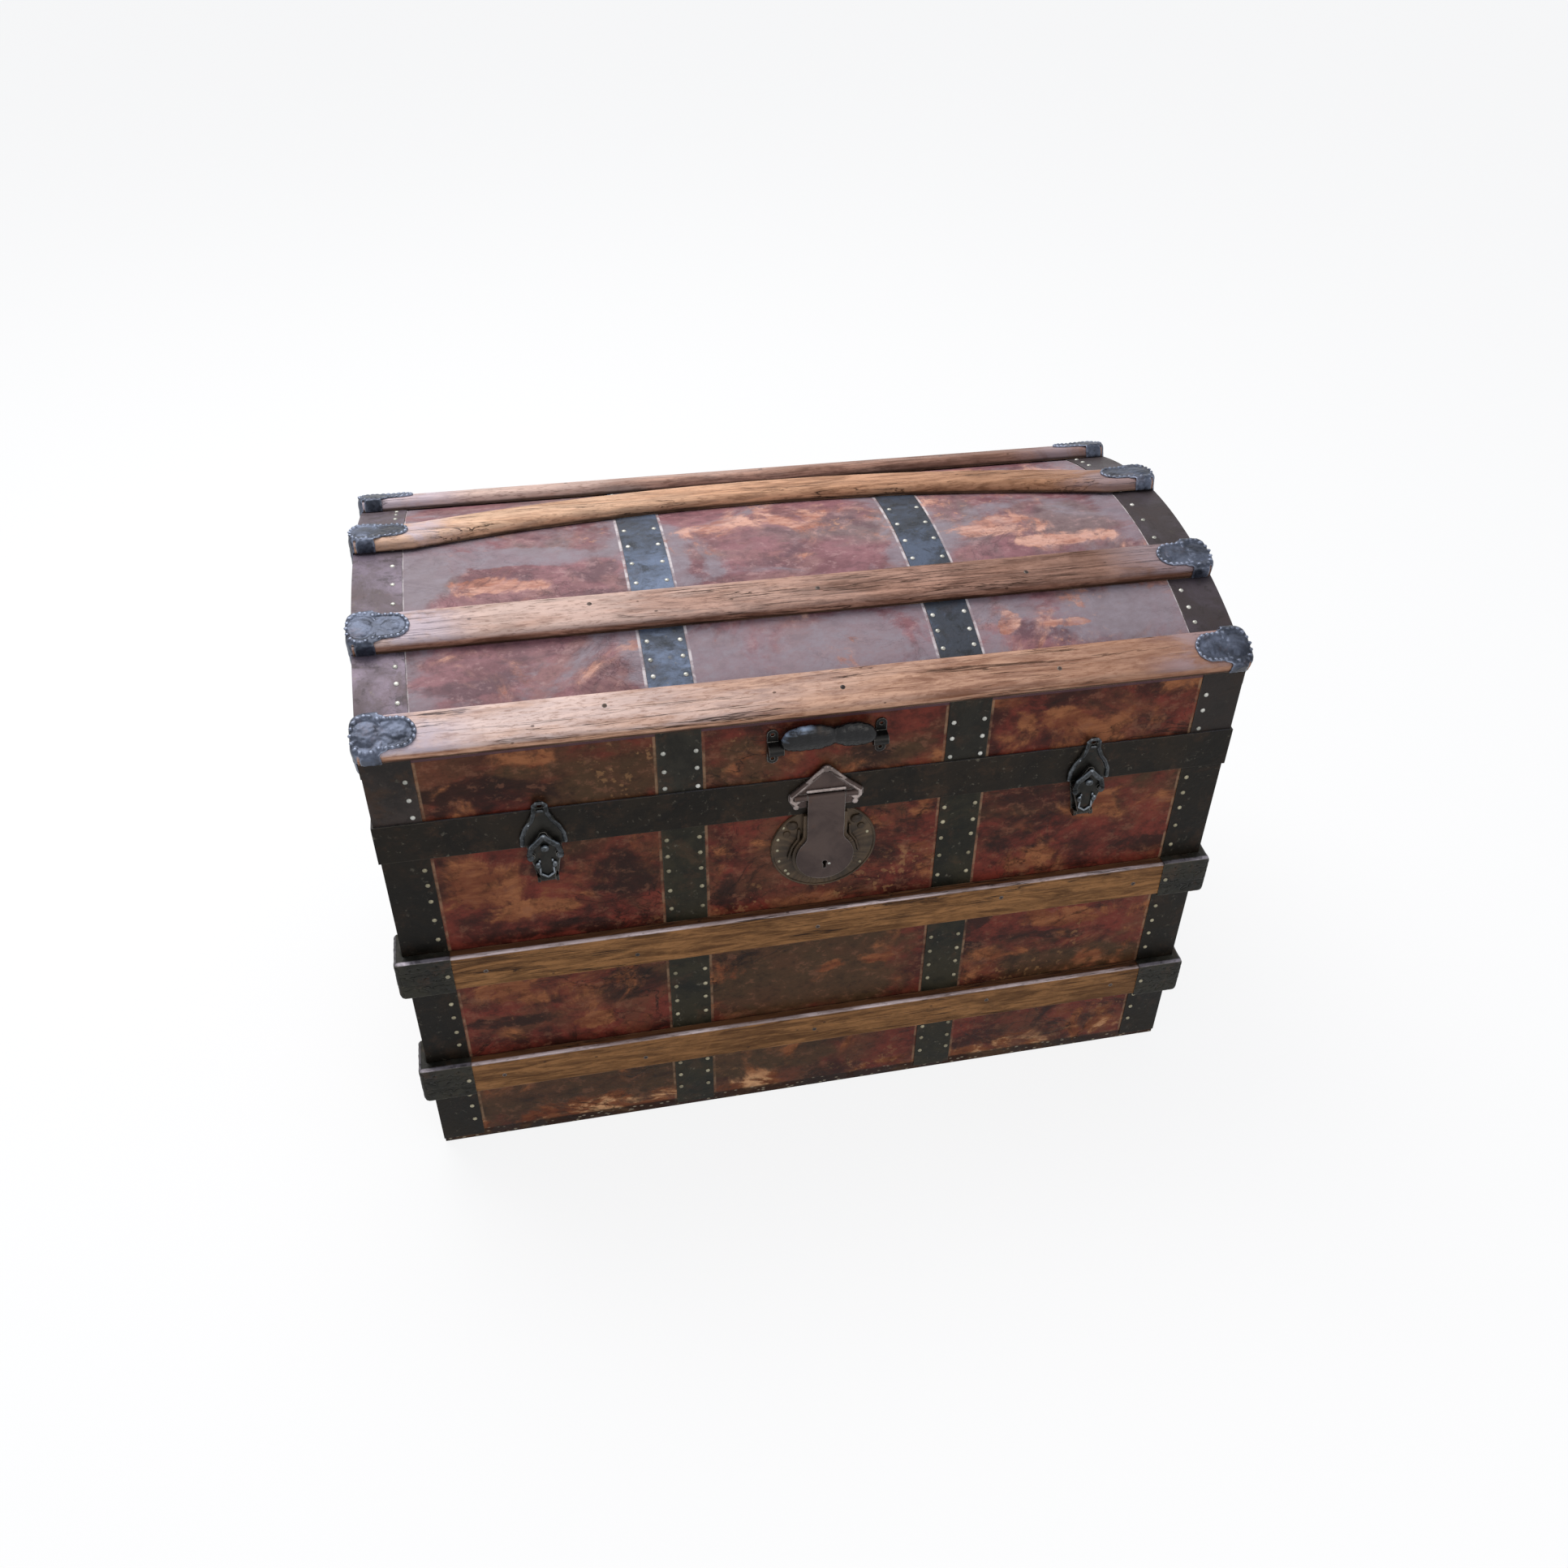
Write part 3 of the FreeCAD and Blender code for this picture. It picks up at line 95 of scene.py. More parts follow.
def seen_white(tree, plain_shader, white_share):
    """Mix a shader with plain white light for the rays that come straight from the camera or from a gloss."""
    path = tree.nodes.new("ShaderNodeLightPath")
    white = tree.nodes.new("ShaderNodeEmission")
    seen = tree.nodes.new("ShaderNodeMath")
    seen.operation = "MAXIMUM"
    tree.links.new(path.outputs["Is Camera Ray"], seen.inputs[0])
    tree.links.new(path.outputs["Is Glossy Ray"], seen.inputs[1])
    share = tree.nodes.new("ShaderNodeMath")
    share.operation = "MULTIPLY"
    tree.links.new(seen.outputs[0], share.inputs[0])
    share.inputs[1].default_value = white_share
    blend = tree.nodes.new("ShaderNodeMixShader")
    tree.links.new(share.outputs[0], blend.inputs[0])
    tree.links.new(plain_shader, blend.inputs[1])
    tree.links.new(white.outputs[0], blend.inputs[2])
    return blend.outputs[0]


bpy.ops.mesh.primitive_plane_add(size=FLOOR_REACH, location=(0, 0, 0))
floor = bpy.context.object
floor.name = "floor"
floor_finish = bpy.data.materials.new("pale_floor")
floor_finish.use_nodes = True
floor_shader = floor_finish.node_tree.nodes["Principled BSDF"]
floor_shader.inputs["Base Color"].default_value = tone(244, 244, 244)
floor_shader.inputs["Roughness"].default_value = 0.9
floor_out = floor_finish.node_tree.nodes["Material Output"]
floor_finish.node_tree.links.new(seen_white(floor_finish.node_tree, floor_shader.outputs[0], FLOOR_WHITE),
                                 floor_out.inputs["Surface"])
floor.data.materials.append(floor_finish)

world = bpy.data.worlds.new("soft_sky")
bpy.context.scene.world = world
world.use_nodes = True
sky = world.node_tree.nodes["Background"]
sky.inputs["Color"].default_value = (*SKY, 1)
sky.inputs["Strength"].default_value = SKY_STRENGTH
world.node_tree.links.new(seen_white(world.node_tree, sky.outputs[0], SKY_WHITE),
                          world.node_tree.nodes["World Output"].inputs["Surface"])

for name, place, aim, size, power, colour in (
        ("lamp_above", (-0.6, 1.0, 2.6), (0, 0, 0.4), 1.8, 62, (1.0, 0.98, 0.96)),
        ("lamp_front", (0.9, -2.6, 1.5), (0, 0, 0.3), 1.6, 17, (1.0, 0.96, 0.90))):
    bpy.ops.object.light_add(type="AREA", location=place)
    lamp = bpy.context.object
    lamp.name = name
    lamp.data.size = size
    lamp.data.energy = power
    lamp.data.color = colour
    lamp.rotation_euler = (Vector(aim) - Vector(place)).to_track_quat("-Z", "Y").to_euler()
bpy.context.scene.view_settings.view_transform = "Standard"

# %% [markdown]
# ## Sizes read from the frame
# The faces, the rim and the curve of the lid come from the CAD nodes' own corners. The few sizes that a corner
# can't tell, such as where the slats lie along the curve, are written here once and used everywhere.

# %% Sizes
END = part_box("front_board")[1][0]
FACE = -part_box("front_board")[0][1]
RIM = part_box("front_board")[1][2]
SHEET = -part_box("strap_front_left")[0][1] - FACE
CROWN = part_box("lid_top")[1][2]
# The lid's curve stands this much higher at the crown than at the faces
RISE = 0.05
ARCH = (FACE ** 2 + RISE ** 2) / (2 * RISE)
ARCH_Z = CROWN - ARCH
LID_BOARD = 0.008
WALL = 0.010
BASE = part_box("bottom_board")[1][2]
# Less than this apart, two faces count as one
HAIR = 0.0005
STRAP_MIDDLE = (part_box("strap_front_right")[0][0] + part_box("strap_front_right")[1][0]) / 2
STRAP_HALF = (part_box("strap_front_right")[1][0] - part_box("strap_front_right")[0][0]) / 2
SLAT_HALF = 0.0225
SLAT_HEIGHT = 0.013
CASE_SLAT_ROWS = (0.116, RIM - 0.151)
# How far each lid slat lies from the crown along the curve, positive to the front, and how far the bowed one
# leans sideways: in the middle to one side, at its clamps to the other
FRONT_SLAT, INNER_SLAT, BOWED_SLAT, BACK_SLAT = 0.2187, 0.097, -0.094, -0.2187
BOW = 0.052
print(f"curve of the lid: radius {ARCH:.3f} m about z {ARCH_Z:.3f} m")


def on_arch(along, x, out=0.0):
    """The place on the lid's curve at a distance from the crown, positive to the front, turned so that Z is out."""
    angle = along / ARCH
    turn = Matrix.Rotation(angle, 4, "X")
    return Matrix.Translation((x, -(ARCH + out) * math.sin(angle), ARCH_Z + (ARCH + out) * math.cos(angle))) @ turn


# %% [markdown]
# ## A small language for finishes
# Every finish here is layered: a base colour, a coat that has worn away in patches, dirt, and a relief. They
# are all built from the same few steps, so these are short methods on one class. All patterns read Object
# coordinates, which stay with a piece when the lid opens.

# %% Finish maker
class Finish:
    """A material under construction, with short names for the nodes used again and again."""

    def __init__(self, name, metallic=0.0, roughness=0.5, shine=0.12):
        self.material = bpy.data.materials.new(name)
        self.material.use_nodes = True
        self.tree = self.material.node_tree
        self.shader = self.tree.nodes["Principled BSDF"]
        self.shader.inputs["Metallic"].default_value = metallic
        self.shader.inputs["Roughness"].default_value = roughness
        self.shader.inputs["Specular IOR Level"].default_value = shine
        self.places = self.add("TexCoord")

    def add(self, kind, inputs=None, **settings):
        """Add a node, choose its settings, and wire or fill its inputs."""
        new = self.tree.nodes.new(f"ShaderNode{kind}")
        for key, value in settings.items():
            setattr(new, key, value)
        for key, value in (inputs or {}).items():
            if isinstance(value, bpy.types.NodeSocket):
                self.tree.links.new(value, new.inputs[key])
            else:
                new.inputs[key].default_value = value
        return new

    def stretched(self, x=1.0, y=1.0, z=1.0, shift=(0, 0, 0)):
        """Object coordinates, with the pattern drawn finer along an axis by its number."""
        return self.add("Mapping", {"Vector": self.places.outputs["Object"], "Scale": (x, y, z),
                                    "Location": shift}).outputs[0]

    def axis(self, name):
        """One Object coordinate on its own."""
        return self.add("SeparateXYZ", {0: self.places.outputs["Object"]}).outputs[name]

    def facing(self, name):
        """One part of the surface's own direction, in the piece's axes."""
        return self.add("SeparateXYZ", {0: self.places.outputs["Normal"]}).outputs[name]

    def ragged(self, reach, scale, shift=(0, 0, 0)):
        """Object coordinates pushed about by noise, so that what is drawn on them gets a ragged outline."""
        push = self.add("TexNoise", {"Vector": self.stretched(shift=shift), "Scale": scale, "Detail": 5.0,
                                     "Roughness": 0.6}).outputs["Color"]
        centred = self.add("VectorMath", {0: push, 1: (0.5, 0.5, 0.5)}, operation="SUBTRACT").outputs[0]
        scaled = self.add("VectorMath", {0: centred, 3: reach}, operation="SCALE").outputs[0]
        return self.add("VectorMath", {0: self.places.outputs["Object"], 1: scaled}, operation="ADD").outputs[0]

    def blots(self, vector, level, spots):
        """1 inside any of a list of soft ovals, each a middle and a half width along X and along one more axis."""
        total = None
        for x, other, half_x, half_other in spots:
            middle = (x, other, 0) if level == "y" else (x, 0, other)
            size = (1 / half_x, 1 / half_other, 0) if level == "y" else (1 / half_x, 0, 1 / half_other)
            away = self.add("VectorMath", {0: vector, 1: middle}, operation="SUBTRACT").outputs[0]
            away = self.add("VectorMath", {0: away, 1: size}, operation="MULTIPLY").outputs[0]
            one = self.step(self.add("VectorMath", {0: away}, operation="LENGTH").outputs["Value"], 1.25, 0.7)
            total = one if total is None else self.most(total, one)
        return total

    def noise(self, vector, scale, detail=4.0, rough=0.55, swirl=0.0):
        """Cloudy noise, about 0.3 to 0.7."""
        return self.add("TexNoise", {"Vector": vector, "Scale": scale, "Detail": detail, "Roughness": rough,
                                     "Distortion": swirl}).outputs["Fac"]

    def cells(self, vector, scale):
        """Distance to the nearest of many scattered points."""
        return self.add("TexVoronoi", {"Vector": vector, "Scale": scale}).outputs["Distance"]

    def sums(self, operation, *values):
        """Arithmetic on one or two values."""
        return self.add("Math", dict(enumerate(values)), operation=operation).outputs[0]

    def times(self, one, other):
        """One value multiplied by another."""
        return self.sums("MULTIPLY", one, other)

    def plus(self, one, other):
        """Two values added."""
        return self.sums("ADD", one, other)

    def minus(self, one, other):
        """One value less another."""
        return self.sums("SUBTRACT", one, other)

    def most(self, one, other):
        """The larger of two values."""
        return self.sums("MAXIMUM", one, other)

    def plain(self, value):
        """A value without its sign."""
        return self.sums("ABSOLUTE", value)

    def step(self, value, low, high, start=0.0, end=1.0):
        """A smooth step between two levels of a value."""
        return self.add("MapRange", {"Value": value, "From Min": low, "From Max": high, "To Min": start,
                                     "To Max": end}, interpolation_type="SMOOTHSTEP").outputs[0]

    def mix(self, share, under, over):
        """Lay one colour over another by a share."""
        return self.add("Mix", {0: share, 6: under, 7: over}, data_type="RGBA").outputs[2]

    def edges(self, width):
        """How near a surface is to a sharp edge: 1 on it, 0 away from it."""
        rounded = self.add("Bevel", {"Radius": width}, samples=4).outputs[0]
        plain = self.add("NewGeometry").outputs["Normal"]
        straight = self.add("VectorMath", {0: rounded, 1: plain}, operation="DOT_PRODUCT").outputs["Value"]
        return self.step(straight, 0.995, 0.8)

    def raised(self, low=0.505, high=0.56):
        """How far a point stands out of a finely meshed surface: high on lumps and worn corners, 0 in hollows."""
        return self.step(self.add("NewGeometry").outputs["Pointiness"], low, high)

    def out_of_arch(self):
        """The distance outwards from the lid's curve, in metres."""
        height = self.minus(self.axis(2), ARCH_Z)
        reach = self.sums("SQRT", self.plus(self.times(height, height), self.times(self.axis(1), self.axis(1))))
        return self.minus(reach, ARCH)

    def done(self, colour, height=None, depth=0.0005, roughness=None, rounding=0.0008):
        """Wire the colour, the roughness and the relief to the shader, with every sharp edge a little rounded."""
        shader = self.shader.inputs
        self.tree.links.new(colour, shader["Base Color"])
        if roughness is not None:
            self.tree.links.new(roughness, shader["Roughness"])
        normal = self.add("Bevel", {"Radius": rounding}, samples=4).outputs[0]
        if height is not None:
            normal = self.add("Bump", {"Height": height, "Distance": depth, "Strength": 1.0,
                                       "Normal": normal}).outputs[0]
        self.tree.links.new(normal, shader["Normal"])
        return self.material


# %% [markdown]
# ## Painted boards
# The boards were painted a deep red over a brown ground. The paint has come off in patches and shows orange
# wood, old damp has left dark lines along the grain, and the paint of the lid has gone pale and lilac where
# rain and sun reached it. Inside, the boards wear a lining of plain striped paper. Which of the two shows is
# decided by place: what lies within the walls is lined.

# %% Painted and lined boards
def paper_lining(paint):
    """Aged wall paper with faint stripes and brown spots."""
    stripes = paint.step(paint.plain(paint.sums("SINE", paint.times(paint.axis(0), 180.0))),
                         0.75, 0.95)
    stains = paint.step(paint.noise(paint.stretched(), 7, 6, 0.6, 0.5), 0.45, 0.7)
    spots = paint.step(paint.cells(paint.stretched(), 60), 0.16, 0.06)
    paper = paint.mix(stripes, tone(196, 178, 142), tone(176, 150, 116))
    paper = paint.mix(stains, paper, tone(146, 116, 80))
    return paint.mix(paint.times(spots, 0.5), paper, tone(104, 74, 48))


def within_walls(paint):
    """1 on the faces that look into the trunk, 0 on the faces outside."""
    x_in = paint.sums("LESS_THAN", paint.plain(paint.axis(0)), END - WALL + HAIR)
    y_in = paint.sums("LESS_THAN", paint.plain(paint.axis(1)), FACE - WALL + HAIR)
    above = paint.sums("GREATER_THAN", paint.axis(2), BASE - HAIR)
    below = paint.sums("LESS_THAN", paint.out_of_arch(), HAIR - LID_BOARD)
    return paint.times(paint.times(x_in, y_in), paint.times(above, below))


def bare_boards(paint, grain, dark, light, pale, streaks):
    """Softwood with long soft streaks, as it shows where the paint is gone."""
    lines = paint.noise(paint.stretched(*[1.0 if number else 2.4 for number in grain]), 16, 8, 0.66, 0.6)
    pores = paint.noise(paint.stretched(*[3.0 if number else 26.0 for number in grain], shift=(4, 4, 4)), 24, 4, 0.6)
    wood = paint.mix(paint.step(lines, 0.36, 0.64), dark, light)
    wood = paint.mix(paint.step(pores, 0.54, 0.68, 0.0, 0.3), wood, dark)
    return paint.mix(paint.times(streaks, paint.step(lines, 0.50, 0.60)), wood, pale)


def stained_lines(paint, wide, scale, width, shift):
    """Dark wandering lines left by damp: thin in the middle, soft to both sides."""
    field = paint.noise(paint.stretched(*wide, shift=shift), scale, 7, 0.58, 0.9)
    off = paint.plain(paint.minus(field, 0.5))
    where = paint.step(paint.noise(paint.stretched(shift=(3, 1, 2)), 5.5, 4), 0.44, 0.58)
    core = paint.step(off, width * 0.35, 0.0)
    halo = paint.step(off, width, 0.0, 0.0, 0.55)
    return paint.times(paint.most(core, halo), where)


def pale_film(paint):
    """How thick the lilac-grey film on the lid is: thickest along the metal, beside the slats and in the middle."""
    cloud = paint.noise(paint.stretched(1, 1.3, 1, shift=(0.2, 4, 1)), 9, 9, 0.66, 0.6)
    away = paint.plain(paint.minus(paint.plain(paint.axis(0)), STRAP_MIDDLE))
    by_strap = paint.step(away, STRAP_HALF + 0.030, STRAP_HALF + 0.004, 0.0, 0.12)
    by_end = paint.step(paint.plain(paint.axis(0)), END - 0.085, END - 0.05, 0.0, 0.12)
    thick = paint.blots(paint.ragged(0.05, 12), "y", FILM_SPOTS)
    level = paint.plus(cloud, paint.plus(paint.times(thick, 0.17),
                                                paint.most(by_strap, by_end)))
    up = paint.step(paint.facing(2), 0.4, 0.8)
    return up, paint.times(up, paint.step(level, 0.50, 0.64, 0.12, 0.92))


LINE_OFF = 0.0016
BINDING_WIDTH = 0.0456


def size_lines(paint, share):
    """The broken cream line of old size that borders each strip of metal; share is its strength where it is whole."""
    total = None
    for edge in (STRAP_MIDDLE - STRAP_HALF - LINE_OFF, STRAP_MIDDLE + STRAP_HALF + LINE_OFF, END - BINDING_WIDTH):
        off = paint.plain(paint.minus(paint.plain(paint.axis(0)), edge))
        line = paint.step(off, 0.0020, 0.0008)
        total = line if total is None else paint.most(total, line)
    broken = paint.step(paint.noise(paint.stretched(), 60, 5, 0.6), 0.40, 0.60, 0.10, share)
    return paint.times(total, broken)


def paint_coat(paint, tones, wide, spread, level, dark_spots, olive_spots):
    """The coat: red, browner where it has thinned, olive where grime has settled, near black where damp stood."""
    clouds = paint.noise(paint.stretched(*wide, shift=(0.3, 0.1, 0.2)), 14, 9, 0.66, 0.4)
    coat = paint.mix(paint.step(clouds, 0.38, 0.60), tones["red"], tones["bright red"])
    thin = paint.noise(paint.stretched(*wide, shift=(1.7, 0.4, 0.9)), 8.0, 8, 0.66, 0.8)
    coat = paint.mix(paint.step(thin, 0.48, 0.62, 0.0, 0.6), coat, tones["brown"])
    olive = paint.noise(paint.stretched(1, 1, 1.4, shift=(2.6, 1.1, 0.4)), 4.0, 7, 0.62, 0.5)
    olive = paint.plus(olive, paint.times(paint.blots(spread, level, olive_spots), 0.13))
    coat = paint.mix(paint.step(olive, 0.52, 0.64, 0.0, 0.85), coat, tones["olive"])
    damp = paint.noise(paint.stretched(*wide, shift=(0.6, 2.3, 1.1)), 11.0, 9, 0.66, 0.6)
    damp = paint.plus(damp, paint.times(paint.blots(spread, level, dark_spots), 0.12))
    return paint.mix(paint.step(damp, 0.54, 0.68, 0.0, 0.85), coat, tones["damp"])


def worn_through(paint, low, spread, level, bare_spots):
    """Where the wood shows: in patches with soft, ragged edges, and in long strips beside the floor."""
    worn = paint.noise(paint.stretched(shift=(2.1, 1.3, 0.2)), 13, 10, 0.64, 0.5)
    rub = paint.plus(worn, paint.times(paint.blots(spread, level, bare_spots), 0.11))
    rub = paint.plus(rub, paint.times(low, 0.115))
    return paint.plus(paint.step(rub, 0.53, 0.64, 0.0, 0.5), paint.step(rub, 0.585, 0.65, 0.0, 0.5))


def gold_chips(paint):
    """Small gold chips, gathered in a few places."""
    chips = paint.step(paint.noise(paint.stretched(shift=(5, 0, 2)), 120, 5, 0.6), 0.57, 0.64)
    where = paint.step(paint.noise(paint.stretched(shift=(5, 1, 0)), 8, 4), 0.57, 0.68, 0.0, 0.5)
    return paint.times(chips, where)


def faded_top(paint, tones, colour, bare, mottle):
    """The film over the lid, the pale lines beside its metal, and the shade under the front slat."""
    up, film = pale_film(paint)
    film = paint.times(film, paint.step(bare, 0.2, 0.9, 1.0, 0.35))
    film = paint.times(film, paint.step(mottle, 0.34, 0.60, 1.0, 0.72))
    colour = paint.mix(film, colour, tones["film"])
    colour = paint.mix(paint.times(size_lines(paint, 0.85), up), colour, tone(208, 200, 200))
    under_slat = paint.step(paint.axis(1), -0.2255, -0.2270, 0.0, 0.9)
    return paint.mix(under_slat, colour, tones["line"])


def damp_foot(paint, tones, colour):
    """The lines beside the case's metal, and its lowest edge, black with damp and with pale bits of filler in it."""
    colour = paint.mix(size_lines(paint, 0.6), colour, tone(150, 120, 92))
    foot = paint.step(paint.axis(2), 0.0150, 0.0105)
    bits = paint.step(paint.cells(paint.stretched(0.5, 1, 1), 210), 0.30, 0.12)
    black = paint.mix(paint.times(bits, 0.7), tones["line"], tone(176, 164, 140))
    return paint.mix(paint.times(foot, 0.9), colour, black)


def painted_boards(name, grain, tones, level, bare_spots, dark_spots, olive_spots, faded=False):
    """Worn dark red paint over orange wood; grain is 1 along the boards' length and 0 across it.

    The spots are soft ovals on the plane of X and the axis named by level, where the paint is mostly gone, where
    damp stood, and where the red has turned olive.
    """
    paint = Finish(name, roughness=0.5)
    wide = [1.0 if number else 1.35 for number in grain]
    spread = paint.ragged(0.045, 16, (1, 2, 3))
    low = paint.step(paint.axis(2), 0.050, 0.022)
    coat = paint_coat(paint, tones, wide, spread, level, dark_spots, olive_spots)
    bare = worn_through(paint, low, spread, level, bare_spots)
    colour = paint.mix(bare, coat, bare_boards(paint, grain, tones["wood"], tones["bright wood"], tones["pale"], low))
    # Damp lines, and a fine mottle over everything
    stain = stained_lines(paint, [1.0 if number else 1.8 for number in grain], 7.0, 0.022, (0.9, 0.2, 1.9))
    fine = stained_lines(paint, [1.0 if number else 1.5 for number in grain], 19.0, 0.020, (5.9, 1.2, 0.9))
    stain = paint.most(stain, paint.times(fine, 0.7))
    colour = paint.mix(paint.times(stain, 0.5 if faded else 0.92), colour, tones["line"])
    mottle = paint.noise(paint.stretched(*wide), 64, 9, 0.72)
    colour = paint.mix(paint.step(mottle, 0.51, 0.64, 0.0, 0.42), colour, tones["line"])
    colour = paint.mix(paint.step(mottle, 0.47, 0.36, 0.0, 0.38), colour, tones["fleck"])
    colour = paint.mix(gold_chips(paint), colour, tones["chip"])
    colour = faded_top(paint, tones, colour, bare, mottle) if faded else damp_foot(paint, tones, colour)
    inside = within_walls(paint)
    colour = paint.mix(inside, colour, paper_lining(paint))
    relief = paint.minus(paint.times(mottle, 0.7), paint.times(bare, 0.5))
    relief = paint.minus(relief, paint.times(stain, 0.35))
    gloss = paint.step(paint.plus(inside, bare), 0, 1, 0.40, 0.66)
    return paint.done(colour, relief, 0.0007, gloss)


# %% [markdown]
# ### The boards' tones and the places of their wear
# The case has kept deep tones, the lid's have faded. The large marks sit where they are on the real trunk: each
# row is an oval, with its middle and its half width along X and along one more axis, in metres.

# %% Tones and marks
DEEP_TONES = {
    "red": tone(56, 23, 17), "bright red": tone(110, 46, 35), "brown": tone(92, 59, 39), "olive": tone(68, 50, 31),
    "damp": tone(33, 17, 13), "wood": tone(108, 60, 40), "bright wood": tone(150, 96, 62), "pale": tone(218, 166, 120),
    "line": tone(26, 14, 9), "fleck": tone(130, 86, 64), "chip": tone(150, 110, 72)}
FADED_TONES = {
    "red": tone(108, 66, 70), "bright red": tone(140, 94, 98), "brown": tone(146, 108, 102), "olive": tone(116, 98, 96),
    "damp": tone(92, 62, 68), "wood": tone(158, 104, 86), "bright wood": tone(208, 162, 144),
    "pale": tone(222, 180, 160), "line": tone(72, 48, 52), "fleck": tone(184, 146, 142), "chip": tone(206, 150, 112),
    "film": tone(134, 125, 132)}
CASE_BARE = ((-0.355, 0.385, 0.055, 0.035), (-0.300, 0.345, 0.070, 0.014), (0.075, 0.408, 0.040, 0.013),
             (-0.085, 0.395, 0.030, 0.014), (0.320, 0.385, 0.080, 0.030), (0.215, 0.330, 0.040, 0.018),
             (-0.255, 0.168, 0.035, 0.012), (0.028, 0.203, 0.060, 0.009), (0.280, 0.230, 0.060, 0.014),
             (0.220, 0.185, 0.040, 0.014), (0.385, 0.215, 0.030, 0.030), (-0.330, 0.230, 0.060, 0.020),
             (0.275, 0.500, 0.110, 0.030), (-0.060, 0.505, 0.040, 0.025))
CASE_DARK = ((-0.285, 0.398, 0.075, 0.011), (-0.205, 0.375, 0.035, 0.038), (-0.275, 0.314, 0.085, 0.011),
             (-0.085, 0.335, 0.030, 0.028), (0.092, 0.392, 0.020, 0.016), (-0.205, 0.215, 0.035, 0.032),
             (-0.345, 0.186, 0.060, 0.009), (0.270, 0.204, 0.105, 0.007), (0.180, 0.240, 0.016, 0.014),
             (0.366, 0.330, 0.050, 0.012), (-0.330, 0.498, 0.070, 0.022), (0.225, 0.365, 0.040, 0.030))
CASE_OLIVE = ((0.0, 0.205, 0.125, 0.070), (-0.230, 0.515, 0.090, 0.040), (0.0, 0.515, 0.120, 0.045),
              (-0.100, 0.060, 0.120, 0.030), (0.300, 0.150, 0.090, 0.030), (-0.250, 0.060, 0.120, 0.030))
LID_BARE = ((-0.300, -0.034, 0.060, 0.014), (0.085, 0.010, 0.038, 0.030), (0.005, -0.030, 0.040, 0.010),
            (0.235, 0.000, 0.050, 0.024), (0.300, -0.036, 0.060, 0.012), (0.205, -0.155, 0.012, 0.014),
            (0.262, -0.158, 0.022, 0.007))
LID_DARK = ((-0.200, -0.010, 0.030, 0.030), (0.240, -0.165, 0.040, 0.010), (-0.330, -0.165, 0.050, 0.010))
LID_OLIVE = ((0.330, 0.000, 0.060, 0.040), (-0.364, -0.012, 0.040, 0.050))
FILM_SPOTS = ((-0.010, -0.160, 0.120, 0.050), (0.340, -0.160, 0.080, 0.050), (-0.370, -0.010, 0.050, 0.060),
              (-0.300, 0.015, 0.120, 0.016), (-0.060, -0.190, 0.100, 0.020))
ALONG_X, ALONG_Y = (1, 0, 0), (0, 1, 0)
case_paint = painted_boards("worn_red_paint", ALONG_X, DEEP_TONES, "z", CASE_BARE, CASE_DARK, CASE_OLIVE)
end_paint = painted_boards("worn_red_paint_ends", ALONG_Y, DEEP_TONES, "z", CASE_BARE[:4], CASE_DARK[:4],
                           CASE_OLIVE[:2])
lid_paint = painted_boards("faded_red_paint", ALONG_X, FADED_TONES, "y", LID_BARE, LID_DARK, LID_OLIVE, True)

# %% [markdown]
# ## Slats
# The slats are plain hardwood, once varnished and now dry: open grain in long lines, dark cracks, knots and
# scratches. Those on the case have kept a yellow varnish, those on the lid are bleached and pink where they
# face the sky. Their upward faces also carry a painted highlight, which shows as a pale line along the upper
# edge of a case slat.

# %% Slat wood
def cracks_and_scars(wood, shift):
    """Long open cracks, and the small round scars of old nails."""
    lines = wood.noise(wood.stretched(0.5, 16, 16, shift=shift), 7, 5, 0.55, 0.5)
    crack = wood.step(wood.plain(wood.minus(lines, 0.5)), 0.012, 0.001)
    where = wood.step(wood.noise(wood.stretched(1, 5, 5, shift=shift), 4, 3), 0.47, 0.56)
    crack = wood.times(crack, where)
    scars = wood.step(wood.cells(wood.stretched(1, 1.4, 1.4, shift=shift), 34), 0.075, 0.045)
    return wood.most(crack, wood.times(scars, 0.7))


def lid_slat_wear(wood, colour, dark, patches, up):
    """Dust at both ends of a lid slat, a darker right half, and a painted shadow where it meets the boards."""
    dusty = wood.step(wood.plain(wood.axis(0)), END - 0.125, END - 0.060)
    dusty = wood.times(wood.times(dusty, wood.step(patches, 0.40, 0.56, 0.1, 0.75)), up)
    colour = wood.mix(dusty, colour, tone(188, 176, 186))
    right = wood.step(wood.axis(0), 0.0, 0.40, 0.0, 0.55)
    colour = wood.mix(right, colour, dark)
    # Painted shadow: the foot of the slat, where it stands on the boards, is darkened
    foot = wood.step(wood.out_of_arch(), 0.0062, 0.0030, 0.0, 0.9)
    return wood.mix(foot, colour, tone(40, 24, 16))


